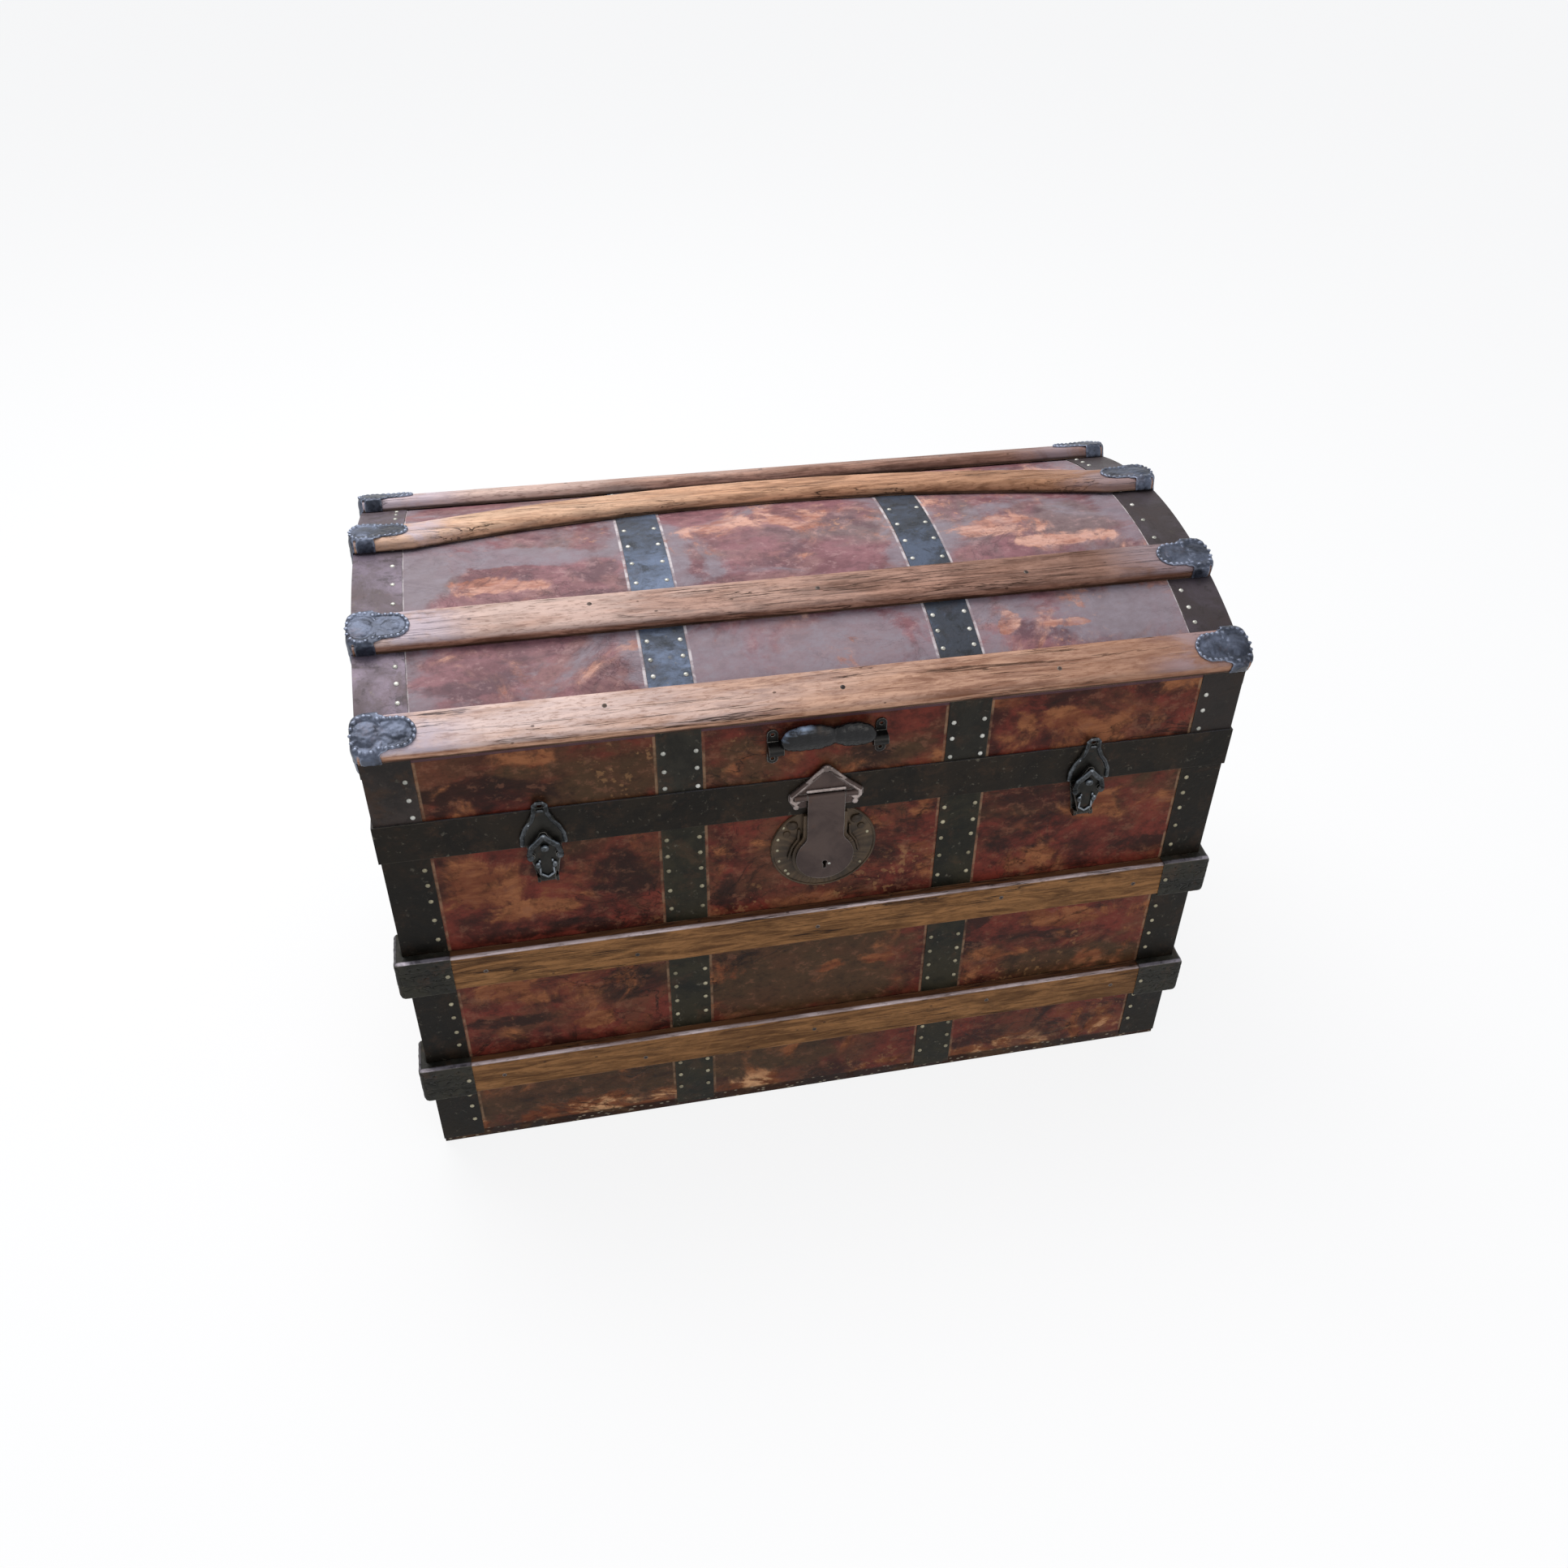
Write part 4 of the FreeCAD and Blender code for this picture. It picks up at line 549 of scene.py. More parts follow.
def slat_wood(name, dark, light, shift, sky_share, sky_tint, on_lid=False):
    """Open-grained wood along X; shift moves the pattern, so that no two slats look alike.

    sky_share and sky_tint say how strongly and to what colour the upward faces are lightened, partly by
    bleaching and partly with a painted highlight. A lid slat is lightened most at its left, dusty at both ends,
    darker towards its right, and has a painted shadow as a dark line where it meets the boards. A case slat is
    lightened only along the outer part of its top; the rest of its top is darkened with grime and painted shade.
    """
    wood = Finish(name, roughness=0.55)
    grain = wood.noise(wood.stretched(1.0, 9, 9, shift=shift), 14, 9, 0.70, 0.7)
    fibres = wood.noise(wood.stretched(1.0, 5, 5, shift=shift), 90, 6, 0.68, 0.3)
    colour = wood.mix(wood.step(grain, 0.36, 0.62), dark, light)
    patches = wood.noise(wood.stretched(1.0, 1.6, 1.6, shift=shift), 9, 9, 0.66, 0.6)
    colour = wood.mix(wood.step(patches, 0.50, 0.66, 0.0, 0.6), colour, dark)
    colour = wood.mix(wood.step(patches, 0.47, 0.34, 0.0, 0.45), colour, light)
    up = wood.step(wood.facing(2), 0.45, 0.85)
    bleach_and_highlight = wood.step(wood.noise(wood.stretched(1, 5, 5, shift=shift), 9, 7, 0.6, 0.5), 0.38, 0.58, 0.45, 1.0)
    if on_lid:
        up = wood.step(wood.facing(2), -0.1, 0.5)
        bleach_and_highlight = wood.times(bleach_and_highlight, wood.step(wood.axis(0), 0.12, -0.36, 0.15, 1.0))
    else:
        # The whole top of a case slat is darkened first, grime and painted shade; only its outer part then gets the
        # bleach and painted highlight
        depth = wood.plain(wood.axis(1))
        bleach_and_highlight = wood.times(bleach_and_highlight, wood.step(depth, FACE + 0.0080, FACE + 0.0105))
        colour = wood.mix(wood.times(up, 0.6), colour, tone(70, 40, 32))
    # Lighten the upward faces: partly bleaching, partly a painted highlight
    colour = wood.mix(wood.times(wood.times(up, bleach_and_highlight), sky_share), colour, sky_tint)
    colour = wood.mix(wood.step(fibres, 0.50, 0.64, 0.0, 0.5), colour, dark)
    marks = cracks_and_scars(wood, shift)
    colour = wood.mix(wood.times(marks, 0.9), colour, tone(38, 22, 16))
    if on_lid:
        colour = lid_slat_wear(wood, colour, dark, patches, up)
    # Painted shade: the faces that look down are darkened
    under = wood.step(wood.facing(2), -0.4, -0.8)
    colour = wood.mix(wood.times(under, 0.7), colour, tone(36, 26, 18))
    worn = wood.times(wood.edges(0.0022), wood.step(grain, 0.42, 0.56, 0.0, 0.5))
    colour = wood.mix(worn, colour, tone(204, 168, 134))
    relief = wood.plus(wood.times(grain, 0.7), wood.times(fibres, 0.3))
    relief = wood.minus(relief, marks)
    return wood.done(colour, relief, 0.0008, wood.step(grain, 0.3, 0.7, 0.66, 0.44), 0.0018)


case_slat_wood = slat_wood("varnished_slat", tone(86, 57, 32), tone(148, 104, 62), (0.2, 0.7, 0.1), 0.95,
                           tone(240, 220, 216))
front_slat_wood = slat_wood("bleached_slat", tone(126, 84, 62), tone(200, 156, 128), (1.2, 0.1, 0.4), 0.78,
                            tone(234, 212, 204), True)
inner_slat_wood = slat_wood("brown_slat", tone(94, 62, 48), tone(172, 130, 110), (2.2, 0.4, 0.8), 0.76,
                            tone(218, 192, 180), True)
bowed_slat_wood = slat_wood("golden_slat", tone(112, 74, 50), tone(196, 146, 112), (3.1, 0.9, 0.2), 0.65,
                            tone(232, 196, 166), True)
bare_wood = slat_wood("bare_wood", tone(104, 74, 46), tone(160, 120, 80), (4.2, 0.3, 0.6), 0.1, tone(190, 160, 128))

# %% [markdown]
# ## Straps and bindings
# These strips are thin sheet steel under a dark olive paint. It is rubbed to metal along the edges and has brown
# rust in places; where it faces the sky it carries a painted reflection of the sky in blue-grey. The strips over
# the lid's ends have lost most of their paint, so they are browner.

# %% Sheet metal
def sheet_metal(name, dark, light, sky_tint, rust_share, darker_right=0.0):
    """Dark paint on sheet steel with rust, rubbed edges and a painted reflection of the sky on what faces up.

    darker_right is the share of its dark tone that a piece on the trunk's right half gets on top.
    """
    metal = Finish(name, metallic=0.3, shine=0.2)
    clouds = metal.noise(metal.stretched(), 14, 9, 0.68, 0.5)
    colour = metal.mix(metal.step(clouds, 0.36, 0.64), dark, light)
    rust = metal.step(metal.noise(metal.stretched(shift=(1, 2, 3)), 34, 9, 0.72, 0.3), 0.50, 0.66)
    colour = metal.mix(metal.times(rust, rust_share), colour, tone(84, 58, 40))
    # Painted reflection of the sky: the faces that look up are tinted to the sky's colour
    up = metal.step(metal.facing(2), 0.4, 0.85)
    colour = metal.mix(metal.times(up, metal.step(clouds, 0.38, 0.60, 1.0, 0.35)), colour, sky_tint)
    mottle = metal.noise(metal.stretched(shift=(7, 1, 2)), 52, 8, 0.74, 0.4)
    colour = metal.mix(metal.step(mottle, 0.50, 0.64, 0.0, 0.55), colour, dark)
    colour = metal.mix(metal.step(mottle, 0.47, 0.36, 0.0, 0.35), colour, light)
    specks = metal.step(metal.noise(metal.stretched(), 150, 5, 0.7), 0.60, 0.72, 0.0, 0.5)
    colour = metal.mix(specks, colour, tone(112, 106, 92))
    if darker_right:
        right = metal.step(metal.axis(0), 0.0, 0.05, 0.0, darker_right)
        colour = metal.mix(right, colour, dark)
    ends = metal.step(metal.plain(metal.axis(0)), END - 0.050, END - 0.040, 0.0, 0.35)
    sideways = metal.step(metal.facing(2), 0.4, 0.2)
    colour = metal.mix(metal.times(ends, sideways), colour, tone(12, 12, 9))
    worn = metal.times(metal.edges(0.0012), metal.step(clouds, 0.42, 0.62, 0.0, 0.45))
    colour = metal.mix(worn, colour, tone(120, 114, 100))
    fine = metal.noise(metal.stretched(), 180, 4, 0.6)
    relief = metal.plus(metal.times(clouds, 1.4), metal.times(fine, 0.3))
    return metal.done(colour, relief, 0.0008, metal.step(clouds, 0.3, 0.7, 0.40, 0.60), 0.0006)


case_metal = sheet_metal("olive_sheet", tone(18, 18, 12), tone(46, 42, 30), tone(104, 104, 108), 0.3)
band_metal = sheet_metal("black_sheet", tone(12, 8, 4), tone(34, 27, 19), tone(92, 90, 92), 0.25)
lid_metal = sheet_metal("lid_strap_sheet", tone(22, 21, 17), tone(46, 43, 36), tone(92, 104, 126), 0.3, 0.35)
end_metal = sheet_metal("worn_end_sheet", tone(42, 37, 35), tone(74, 64, 60), tone(112, 100, 112), 0.45, 0.7)

# %% [markdown]
# ## Clamps, lock and leather
# The clamps are dark iron with a pebbled surface that is bright on its high spots, partly by wear and partly
# with a painted highlight. The lock and its hasp are brown tarnished steel, the draw latches almost black. The
# grips are black leather with a polished face and a painted highlight.

# %% Ironwork and leather
def ironwork(name, dark, light, roughness, metallic=0.7, cast=False, rust_share=0.25, wear_and_highlight_tone=(168, 164, 158),
             top_highlight=None):
    """Aged iron or steel.

    cast is for the finely meshed castings, whose lumps are lightened, partly by wear and partly with a painted
    highlight, and whose hollows are dark. The last argument is the colour of a painted highlight on the outer part
    of the faces that look up.
    """
    iron = Finish(name, metallic=metallic, shine=0.35)
    clouds = iron.noise(iron.stretched(), 28, 6, 0.62, 0.4)
    colour = iron.mix(iron.step(clouds, 0.34, 0.66), dark, light)
    rust = iron.step(iron.noise(iron.stretched(shift=(2, 1, 3)), 40, 8, 0.7, 0.3), 0.54, 0.66)
    colour = iron.mix(iron.times(rust, rust_share), colour, tone(92, 62, 44))
    fine = iron.noise(iron.stretched(), 260, 3, 0.6)
    relief = iron.plus(iron.times(clouds, 0.5), iron.times(fine, 0.25))
    # A painted highlight on the outer part of the faces that look up
    if top_highlight:
        up = iron.step(iron.facing(2), 0.35, 0.85)
        outer = iron.most(iron.step(iron.plain(iron.axis(1)), FACE + 0.0085, FACE + 0.0110),
                          iron.step(iron.plain(iron.axis(0)), END + 0.0070, END + 0.0090, 0.0, 0.6))
        up = iron.times(up, outer)
        colour = iron.mix(iron.times(up, iron.step(clouds, 0.34, 0.60, 0.9, 0.5)), colour, tone(*top_highlight))
    if cast:
        colour = iron.mix(iron.raised(0.49, 0.44), colour, tone(24, 22, 20))
        grime = iron.step(iron.noise(iron.stretched(shift=(4, 2, 1)), 60, 6, 0.64, 0.4), 0.50, 0.62, 0.0, 0.6)
        colour = iron.mix(grime, colour, dark)
        # Raised lumps lightened, partly wear and partly a painted highlight
        worn = iron.times(iron.raised(), iron.step(clouds, 0.35, 0.6, 0.35, 0.8))
    else:
        worn = iron.times(iron.edges(0.0012), iron.step(clouds, 0.35, 0.6, 0.2, 0.7))
    colour = iron.mix(worn, colour, tone(*wear_and_highlight_tone))
    return iron.done(colour, relief, 0.0005, iron.step(clouds, 0.3, 0.7, roughness - 0.1, roughness + 0.12), 0.0006)


# Its blue-grey light and lump tones are partly a painted reflection of the sky
clamp_iron = ironwork("pebbled_iron", tone(44, 48, 58), tone(88, 95, 112), 0.42, 0.75, True, 0.15, (150, 158, 178))
# Its pale tops are a painted highlight
case_clamp_iron = ironwork("dark_iron", tone(20, 20, 16), tone(48, 46, 38), 0.55, 0.5, True, 0.2, (84, 80, 70),
                           (176, 168, 178))
cap_iron = ironwork("cap_iron", tone(14, 14, 14), tone(38, 36, 34), 0.40, 0.6)
lock_steel = ironwork("tarnished_steel", tone(56, 43, 40), tone(80, 66, 61), 0.5, 0.45)
plate_steel = ironwork("olive_steel", tone(32, 24, 16), tone(62, 48, 34), 0.5, 0.35, True, 0.2, (92, 75, 56))
bright_steel = ironwork("rubbed_steel", tone(92, 80, 76), tone(166, 152, 146), 0.38, 0.6, True, 0.15, (196, 186, 182))
latch_steel = ironwork("blackened_steel", tone(24, 24, 22), tone(50, 48, 44), 0.4, 0.7)
# Its bright blue-grey lumps and tops are partly a painted highlight
latch_bright = ironwork("rubbed_black_steel", tone(14, 15, 15), tone(56, 58, 60), 0.34, 0.75, True, 0.15,
                        (176, 184, 192), (158, 170, 182))
hinge_steel = ironwork("hinge_steel", tone(44, 42, 38), tone(74, 70, 64), 0.48, 0.6)
nail_metal = ironwork("nail_heads", tone(112, 106, 86), tone(172, 164, 138), 0.42, 0.6, rust_share=0.2)
lid_nail_metal = ironwork("lid_nail_heads", tone(138, 138, 130), tone(196, 195, 188), 0.40, 0.6, rust_share=0.1)
dark_nail = ironwork("slat_nails", tone(36, 26, 24), tone(70, 54, 46), 0.5, 0.5)


def grip_leather():
    """Black leather, polished by hands, with fine creases across the grip and a painted highlight at its left end."""
    leather = Finish("black_leather", roughness=0.3, shine=0.3)
    creases = leather.cells(leather.stretched(1, 1, 1.6), 420)
    clouds = leather.noise(leather.stretched(), 40, 5, 0.6, 0.3)
    colour = leather.mix(leather.step(clouds, 0.4, 0.65), tone(5, 5, 7), tone(17, 17, 20))
    colour = leather.mix(leather.step(clouds, 0.62, 0.74, 0, 0.4), colour, tone(72, 56, 44))
    # A painted highlight on the upper faces at its left end
    left_highlight = leather.step(leather.axis(0), -0.012, -0.026, 0.0, 0.9)
    left_highlight = leather.times(left_highlight, leather.step(leather.facing(2), 0.25, 0.75))
    colour = leather.mix(leather.times(left_highlight, leather.step(clouds, 0.36, 0.56)), colour, tone(156, 172, 194))
    relief = leather.plus(leather.times(creases, 0.5), clouds)
    return leather.done(colour, relief, 0.0003, leather.step(clouds, 0.3, 0.7, 0.22, 0.38), 0.0004)


leather = grip_leather()

# %% [markdown]
# ## Dress the CAD nodes
# Most boards, straps and slats are right as they are, so they only get their finish. The first rule whose word
# is part of a node's name decides.

# %% Assign finishes
FINISH_BY_NAME = (
    ("end_board", end_paint), ("lid_end_left", end_paint), ("lid_end_right", end_paint),
    ("front_board", case_paint), ("back_board", case_paint), ("rail", case_paint), ("lid_top", lid_paint),
    ("bottom_board", case_paint), ("tray_cleat", bare_wood),
    ("slat_clamps", case_clamp_iron), ("lid_clamps", clamp_iron),
    ("lid_slat_front", front_slat_wood), ("lid_slat_upper_front", inner_slat_wood),
    ("lid_slat_upper_back", bowed_slat_wood), ("lid_slat_back", inner_slat_wood), ("slat", case_slat_wood),
    ("lid_end_binding", end_metal), ("lid_strap", lid_metal), ("lid_corner", end_metal), ("lid_rim_band", band_metal),
    ("corner_binding", band_metal), ("strap", case_metal),
    ("hinge", hinge_steel), ("hasp", lock_steel), ("lock_plate", plate_steel), ("lock", lock_steel),
    ("latch", latch_steel), ("caps", cap_iron), ("handle", leather))
for name, piece in nodes.items():
    finish = next(material for word, material in FINISH_BY_NAME if word in name)
    piece.data.materials.clear()
    piece.data.materials.append(finish)

# %% [markdown]
# ## Tools for modelling
# Each new piece is made as by hand: a primitive, then edit mode. These helpers keep one piece selected, pick
# edges in code, set a copy at each of its places, and join the copies into one piece.

# %% Modelling helpers
def only(piece):
    """Select one piece and nothing else."""
    bpy.ops.object.select_all(action="DESELECT")
    piece.select_set(True)
    bpy.context.view_layer.objects.active = piece


@contextmanager
def editing(piece):
    """Work on a piece in edit mode, starting with nothing selected."""
    only(piece)
    bpy.ops.object.mode_set(mode="EDIT")
    bpy.ops.mesh.select_all(action="DESELECT")
    yield
    bpy.ops.object.mode_set(mode="OBJECT")


def pick_edges(piece, test):
    """Select the edges of the piece in edit mode that pass a test on their middle and their direction."""
    form = bmesh.from_edit_mesh(piece.data)
    form.select_mode = {"EDGE"}
    for edge in form.edges:
        start, end = (corner.co for corner in edge.verts)
        if test((start + end) / 2, start - end):
            edge.select_set(True)
    form.select_flush_mode()
    bmesh.update_edit_mesh(piece.data)


def merged(parts):
    """Join several pieces into the first one."""
    bpy.ops.object.select_all(action="DESELECT")
    for part in parts:
        part.select_set(True)
    bpy.context.view_layer.objects.active = parts[0]
    if len(parts) > 1:
        bpy.ops.object.join()
    return bpy.context.view_layer.objects.active


def laid(pattern, places):
    """One piece made of copies of a pattern, one at each place, with a mirrored copy's faces turned outwards."""
    made = []
    for place in places:
        copy = bpy.data.objects.new(pattern.name, pattern.data.copy())
        copy.data.transform(place)
        if place.determinant() < 0:
            copy.data.flip_normals()
        bpy.context.collection.objects.link(copy)
        made.append(copy)
    return merged(made)


def discard(piece):
    """Delete a pattern that has been copied, or a tool that has done its work."""
    bpy.data.objects.remove(piece, do_unlink=True)


def finished(piece, name, body, slot, finish, *replaced):
    """Name a piece, give it its finish, and say what it moves with and stands for."""
    piece.name = piece.data.name = name
    piece.data.materials.clear()
    piece.data.materials.append(finish)
    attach(piece, body)
    if replaced:
        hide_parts(*replaced)
    print(f"{name}: {len(piece.data.polygons)} faces")
    return piece


# %% [markdown]
# ## Nails
# Small domed tacks hold each strap along both edges. They are the brightest thing on the trunk. Real ones are
# about 5 mm wide and never quite in line, so the copies are nudged by a fixed rule. One head is a ball cut in half
# and pressed flat, with few faces, because there are hundreds of them.

# %% One tack, and its places
TACK_RADIUS = 0.0026
TACK_HEIGHT = 0.0014
TACK_INSET = 0.0055
NUDGE = 0.0007
CORNER_TACK = END + SHEET - 0.0375
SKIRT_ROWS = (0.526, 0.505, 0.483)
CASE_ROWS = (0.417, 0.396, 0.375, 0.349, 0.322, 0.226, 0.204, 0.182, 0.160, 0.077, 0.056, 0.034)
ARCH_ROWS = (0.136, 0.158, 0.179, 0.051, 0.018, -0.016, -0.052)
BACK_ARCH_ROWS = (-0.148, -0.168, -0.187)


def tack_pattern(radius, height):
    """The domed head of a tack, its flat side on the metal."""
    bpy.ops.mesh.primitive_uv_sphere_add(segments=10, ring_count=8, radius=radius, location=(0, 0, 0))
    head = bpy.context.object
    with editing(head):
        bpy.ops.mesh.select_all(action="SELECT")
        bpy.ops.mesh.bisect(plane_co=(0, 0, 0), plane_no=(0, 0, 1), use_fill=True, clear_inner=True)
        bpy.ops.mesh.select_all(action="SELECT")
        bpy.ops.transform.resize(value=(1, 1, height / radius), center_override=(0, 0, 0))
    only(head)
    bpy.ops.object.shade_smooth_by_angle(angle=math.radians(50))
    return head


def nudge(number):
    """A small, fixed unevenness for the copy with this number."""
    return NUDGE * math.sin(number * 12.9898), NUDGE * math.sin(number * 78.233)


def upright(x, z, side, out):
    """A place on the front (side -1) or back (side 1), turned so that Z points out of the trunk."""
    return Matrix.Translation((x, side * out, z)) @ Matrix.Rotation(-side * math.pi / 2, 4, "X")


strap_edges = [sign * (STRAP_MIDDLE + off) for sign in (-1, 1)
               for off in (TACK_INSET - STRAP_HALF, STRAP_HALF - TACK_INSET)]
columns = strap_edges + [-CORNER_TACK, CORNER_TACK]
case_places, lid_places = [], []
for side in (-1, 1):
    for column in columns:
        for row in CASE_ROWS:
            dx, dz = nudge(len(case_places))
            case_places.append(upright(column + dx, row + dz, side, FACE + SHEET))
        for row in SKIRT_ROWS:
            dx, dz = nudge(len(lid_places))
            lid_places.append(upright(column + dx, row + dz, side, FACE + SHEET))
for column in columns:
    for row in ARCH_ROWS + BACK_ARCH_ROWS:
        dx, dz = nudge(len(lid_places))
        lid_places.append(on_arch(row + dz, column + dx, SHEET))

head = tack_pattern(TACK_RADIUS, TACK_HEIGHT)
finished(laid(head, case_places), "case_tacks", "case", "lock_steel", nail_metal)
finished(laid(head, lid_places), "lid_tacks", "lid", "lock_steel", lid_nail_metal)
discard(head)

# %% [markdown]
# ## Tools for castings
# The clamps, caps, latches and grips are thick, rounded things. Each starts as a few plain solids that overlap.
# A remesh melts them into one skin of small even faces, a smooth takes the hard corners off, and a displacement
# gives that skin its real lumps. A recess or a hollow is cut before the last remesh.

# %% Solids, cuts and skins
def applied(piece, kind, **settings):
    """Add a modifier, set it and apply it."""
    only(piece)
    modifier = piece.modifiers.new(kind.lower(), kind)
    for key, value in settings.items():
        setattr(modifier, key, value)
    bpy.ops.object.modifier_apply(modifier=modifier.name)


def settled():
    """The primitive that was just added, with its place, turn and size put into its mesh."""
    piece = bpy.context.object
    only(piece)
    bpy.ops.object.transform_apply(location=True, rotation=True, scale=True)
    return piece


def brick(low, high, bevel=0.0, edge_test=None, segments=3):
    """A box between two corners; the edges that pass the test are rounded."""
    size = [high[n] - low[n] for n in range(3)]
    middle = [(high[n] + low[n]) / 2 for n in range(3)]
    bpy.ops.mesh.primitive_cube_add(size=1, location=middle, scale=size)
    piece = settled()
    if bevel:
        with editing(piece):
            pick_edges(piece, edge_test)
            bpy.ops.mesh.bevel(offset=bevel, segments=segments, affect="EDGES")
    return piece


def drum(place, radius, depth):
    """A short upright cylinder."""
    bpy.ops.mesh.primitive_cylinder_add(vertices=32, radius=radius, depth=depth, location=place)
    return settled()


def lump(place, radius, flat=(1, 1, 1)):
    """A ball, flattened, which makes a boss, a bead or the end of a bar."""
    bpy.ops.mesh.primitive_uv_sphere_add(segments=16, ring_count=10, radius=radius, location=place, scale=flat)
    return settled()


def bar(start, end, radius, thin=1.0):
    """A round bar between two points with a ball at each end; thin below 1 flattens it towards the wall."""
    start, end = Vector(start), Vector(end)
    along = end - start
    bpy.ops.mesh.primitive_cylinder_add(vertices=16, radius=radius, depth=along.length, location=(start + end) / 2,
                                        rotation=along.to_track_quat("Z", "Y").to_euler())
    whole = merged([settled(), lump(start, radius), lump(end, radius)])
    if thin != 1.0:
        with editing(whole):
            bpy.ops.mesh.select_all(action="SELECT")
            bpy.ops.transform.resize(value=(1, thin, 1), center_override=(start + end) / 2)
    return whole


def path(points, radius, thin=1.0):
    """A chain of bars through several points."""
    return merged([bar(a, b, radius, thin) for a, b in zip(points, points[1:])])


def ring(place, radius, thickness):
    """A ring of round bar that faces the front."""
    bpy.ops.mesh.primitive_torus_add(location=place, rotation=(math.pi / 2, 0, 0), major_radius=radius,
                                     minor_radius=thickness, major_segments=40, minor_segments=10)
    return settled()


def cut(piece, *tools):
    """Take solids away from a piece."""
    for tool in tools:
        applied(piece, "BOOLEAN", operation="DIFFERENCE", solver="EXACT", object=tool)
        discard(tool)


def skin(piece, grain, smooth=2, lumps=None, height=0.0, level=0.5):
    """Melt overlapping solids into one skin of faces of a given size, soften it, and raise lumps on it.

    level is the part of the pattern's range that leaves the surface where it is; 1 only presses it in.
    """
    applied(piece, "REMESH", mode="VOXEL", voxel_size=grain, adaptivity=0.0)
    if smooth:
        applied(piece, "SMOOTH", iterations=smooth, factor=0.5)
    if lumps:
        applied(piece, "DISPLACE", texture=lumps, strength=height, mid_level=level, texture_coords="LOCAL")
    only(piece)
    bpy.ops.object.shade_smooth()
    return piece


def pattern_of(kind, name, size, **settings):
    """A procedural pattern for displacement."""
    pattern = bpy.data.textures.new(name, kind)
    pattern.noise_scale = size
    for key, value in settings.items():
        setattr(pattern, key, value)
    return pattern


MIRROR = Matrix.Scale(-1, 4, (1, 0, 0))
pebbles = pattern_of("VORONOI", "pebbles", 0.0042)
dents = pattern_of("CLOUDS", "dents", 0.0065, noise_depth=2)

# %% [markdown]
# ## Lid slats
# The lid's slats have lost their sharp edges, so both long edges are rounded much more than the case's. The
# bowed one is cut into short lengths and moved sideways along the same arc as its CAD form.

# %% Rounded slats
SLAT_ROUNDING = 0.0065
BOW_REACH = END - 0.054


def worn_slat(name, along, finish, bow=0.0):
    """A lid slat with worn edges at a place on the curve, bowed sideways by a distance."""
    lengths = 60 if bow else 2
    piece = brick((-END, -SLAT_HALF, 0.0), (END, SLAT_HALF, SLAT_HEIGHT), SLAT_ROUNDING,
                  lambda middle, along: middle.z > SLAT_HEIGHT - HAIR and abs(along.x) > 0.5, 5)
    with editing(piece):
        for step in range(1, lengths):
            bpy.ops.mesh.select_all(action="SELECT")
            bpy.ops.mesh.bisect(plane_co=(-END + step * 2 * END / lengths, 0, 0), plane_no=(1, 0, 0))
    if bow:
        radius = (BOW_REACH ** 2 + bow ** 2) / (2 * bow)
        for point in piece.data.vertices:
            sag = radius - math.sqrt(radius ** 2 - min(BOW_REACH, abs(point.co.x)) ** 2)
            point.co.y += bow / 2 - sag
    piece.data.transform(on_arch(along, 0, SHEET))
    only(piece)
    bpy.ops.object.shade_smooth_by_angle(angle=math.radians(30))
    return finished(piece, f"worn_{name}", "lid", "slat_wood", finish, name)


worn_slat("lid_slat_front", FRONT_SLAT, front_slat_wood)
worn_slat("lid_slat_upper_front", INNER_SLAT, inner_slat_wood)
worn_slat("lid_slat_upper_back", BOWED_SLAT, bowed_slat_wood, BOW)
worn_slat("lid_slat_back", BACK_SLAT, inner_slat_wood)

# %% [markdown]
# ## Lid clamps
# Each slat of the lid ends in a cast cap: a round bulb over the end board and a tongue with a round end along
# the slat, with a raised, beaded border and pebbles within it. One is modelled at the left end of a slat, with
# X towards the trunk's middle and Z out of the lid. Its hollow is cut to the slat that it holds.

# %% One lid clamp
BULB, TONGUE, TOP = 0.0245, 0.017, 0.015
BULB_X, TIP_X = 0.009, 0.037
FLAT_BEAD = (1, 1, 0.6)

bulb = brick((-0.0055, -BULB, -0.024), (0.021, BULB, TOP), 0.0135,
             lambda middle, along: middle.x < -0.005 and abs(along.z) > 0.03, 6)
with editing(bulb):
    pick_edges(bulb, lambda middle, along: middle.z > TOP - 0.0001 and middle.x < 0.0205)
    bpy.ops.mesh.bevel(offset=0.0045, segments=3, affect="EDGES")
neck = brick((0.015, -0.0195, 0.004), (0.028, 0.0195, TOP), 0.004, lambda middle, along: abs(along.z) > 0.01)
clamp = merged([bulb, neck, brick((0.020, -TONGUE, 0.0125), (TIP_X, TONGUE, TOP)),
                drum((TIP_X, 0, 0.01375), TONGUE, 0.0025)])
skin(clamp, 0.0012, 0)
cut(clamp, brick((0.0, -SLAT_HALF, -0.001), (0.06, SLAT_HALF, 0.0128)),
    brick((-0.002, -0.03, -0.03), (0.06, 0.03, 0.0)),
    brick((0.022, -0.014, 0.0142), (TIP_X, 0.014, 0.02)), drum((TIP_X, 0, 0.0172), 0.014, 0.006),
    drum((BULB_X, 0, 0.0172), 0.0155, 0.006))
beads = []
for step in range(9):
    angle = math.pi * (step - 4) / 8
    beads.append(lump((TIP_X + 0.0150 * math.cos(angle), 0.0150 * math.sin(angle), TOP), 0.0019, FLAT_BEAD))
for step in range(3):
    for side in (-1, 1):
        beads.append(lump((0.0315 - 0.0055 * step, side * 0.0155, TOP), 0.0019, FLAT_BEAD))
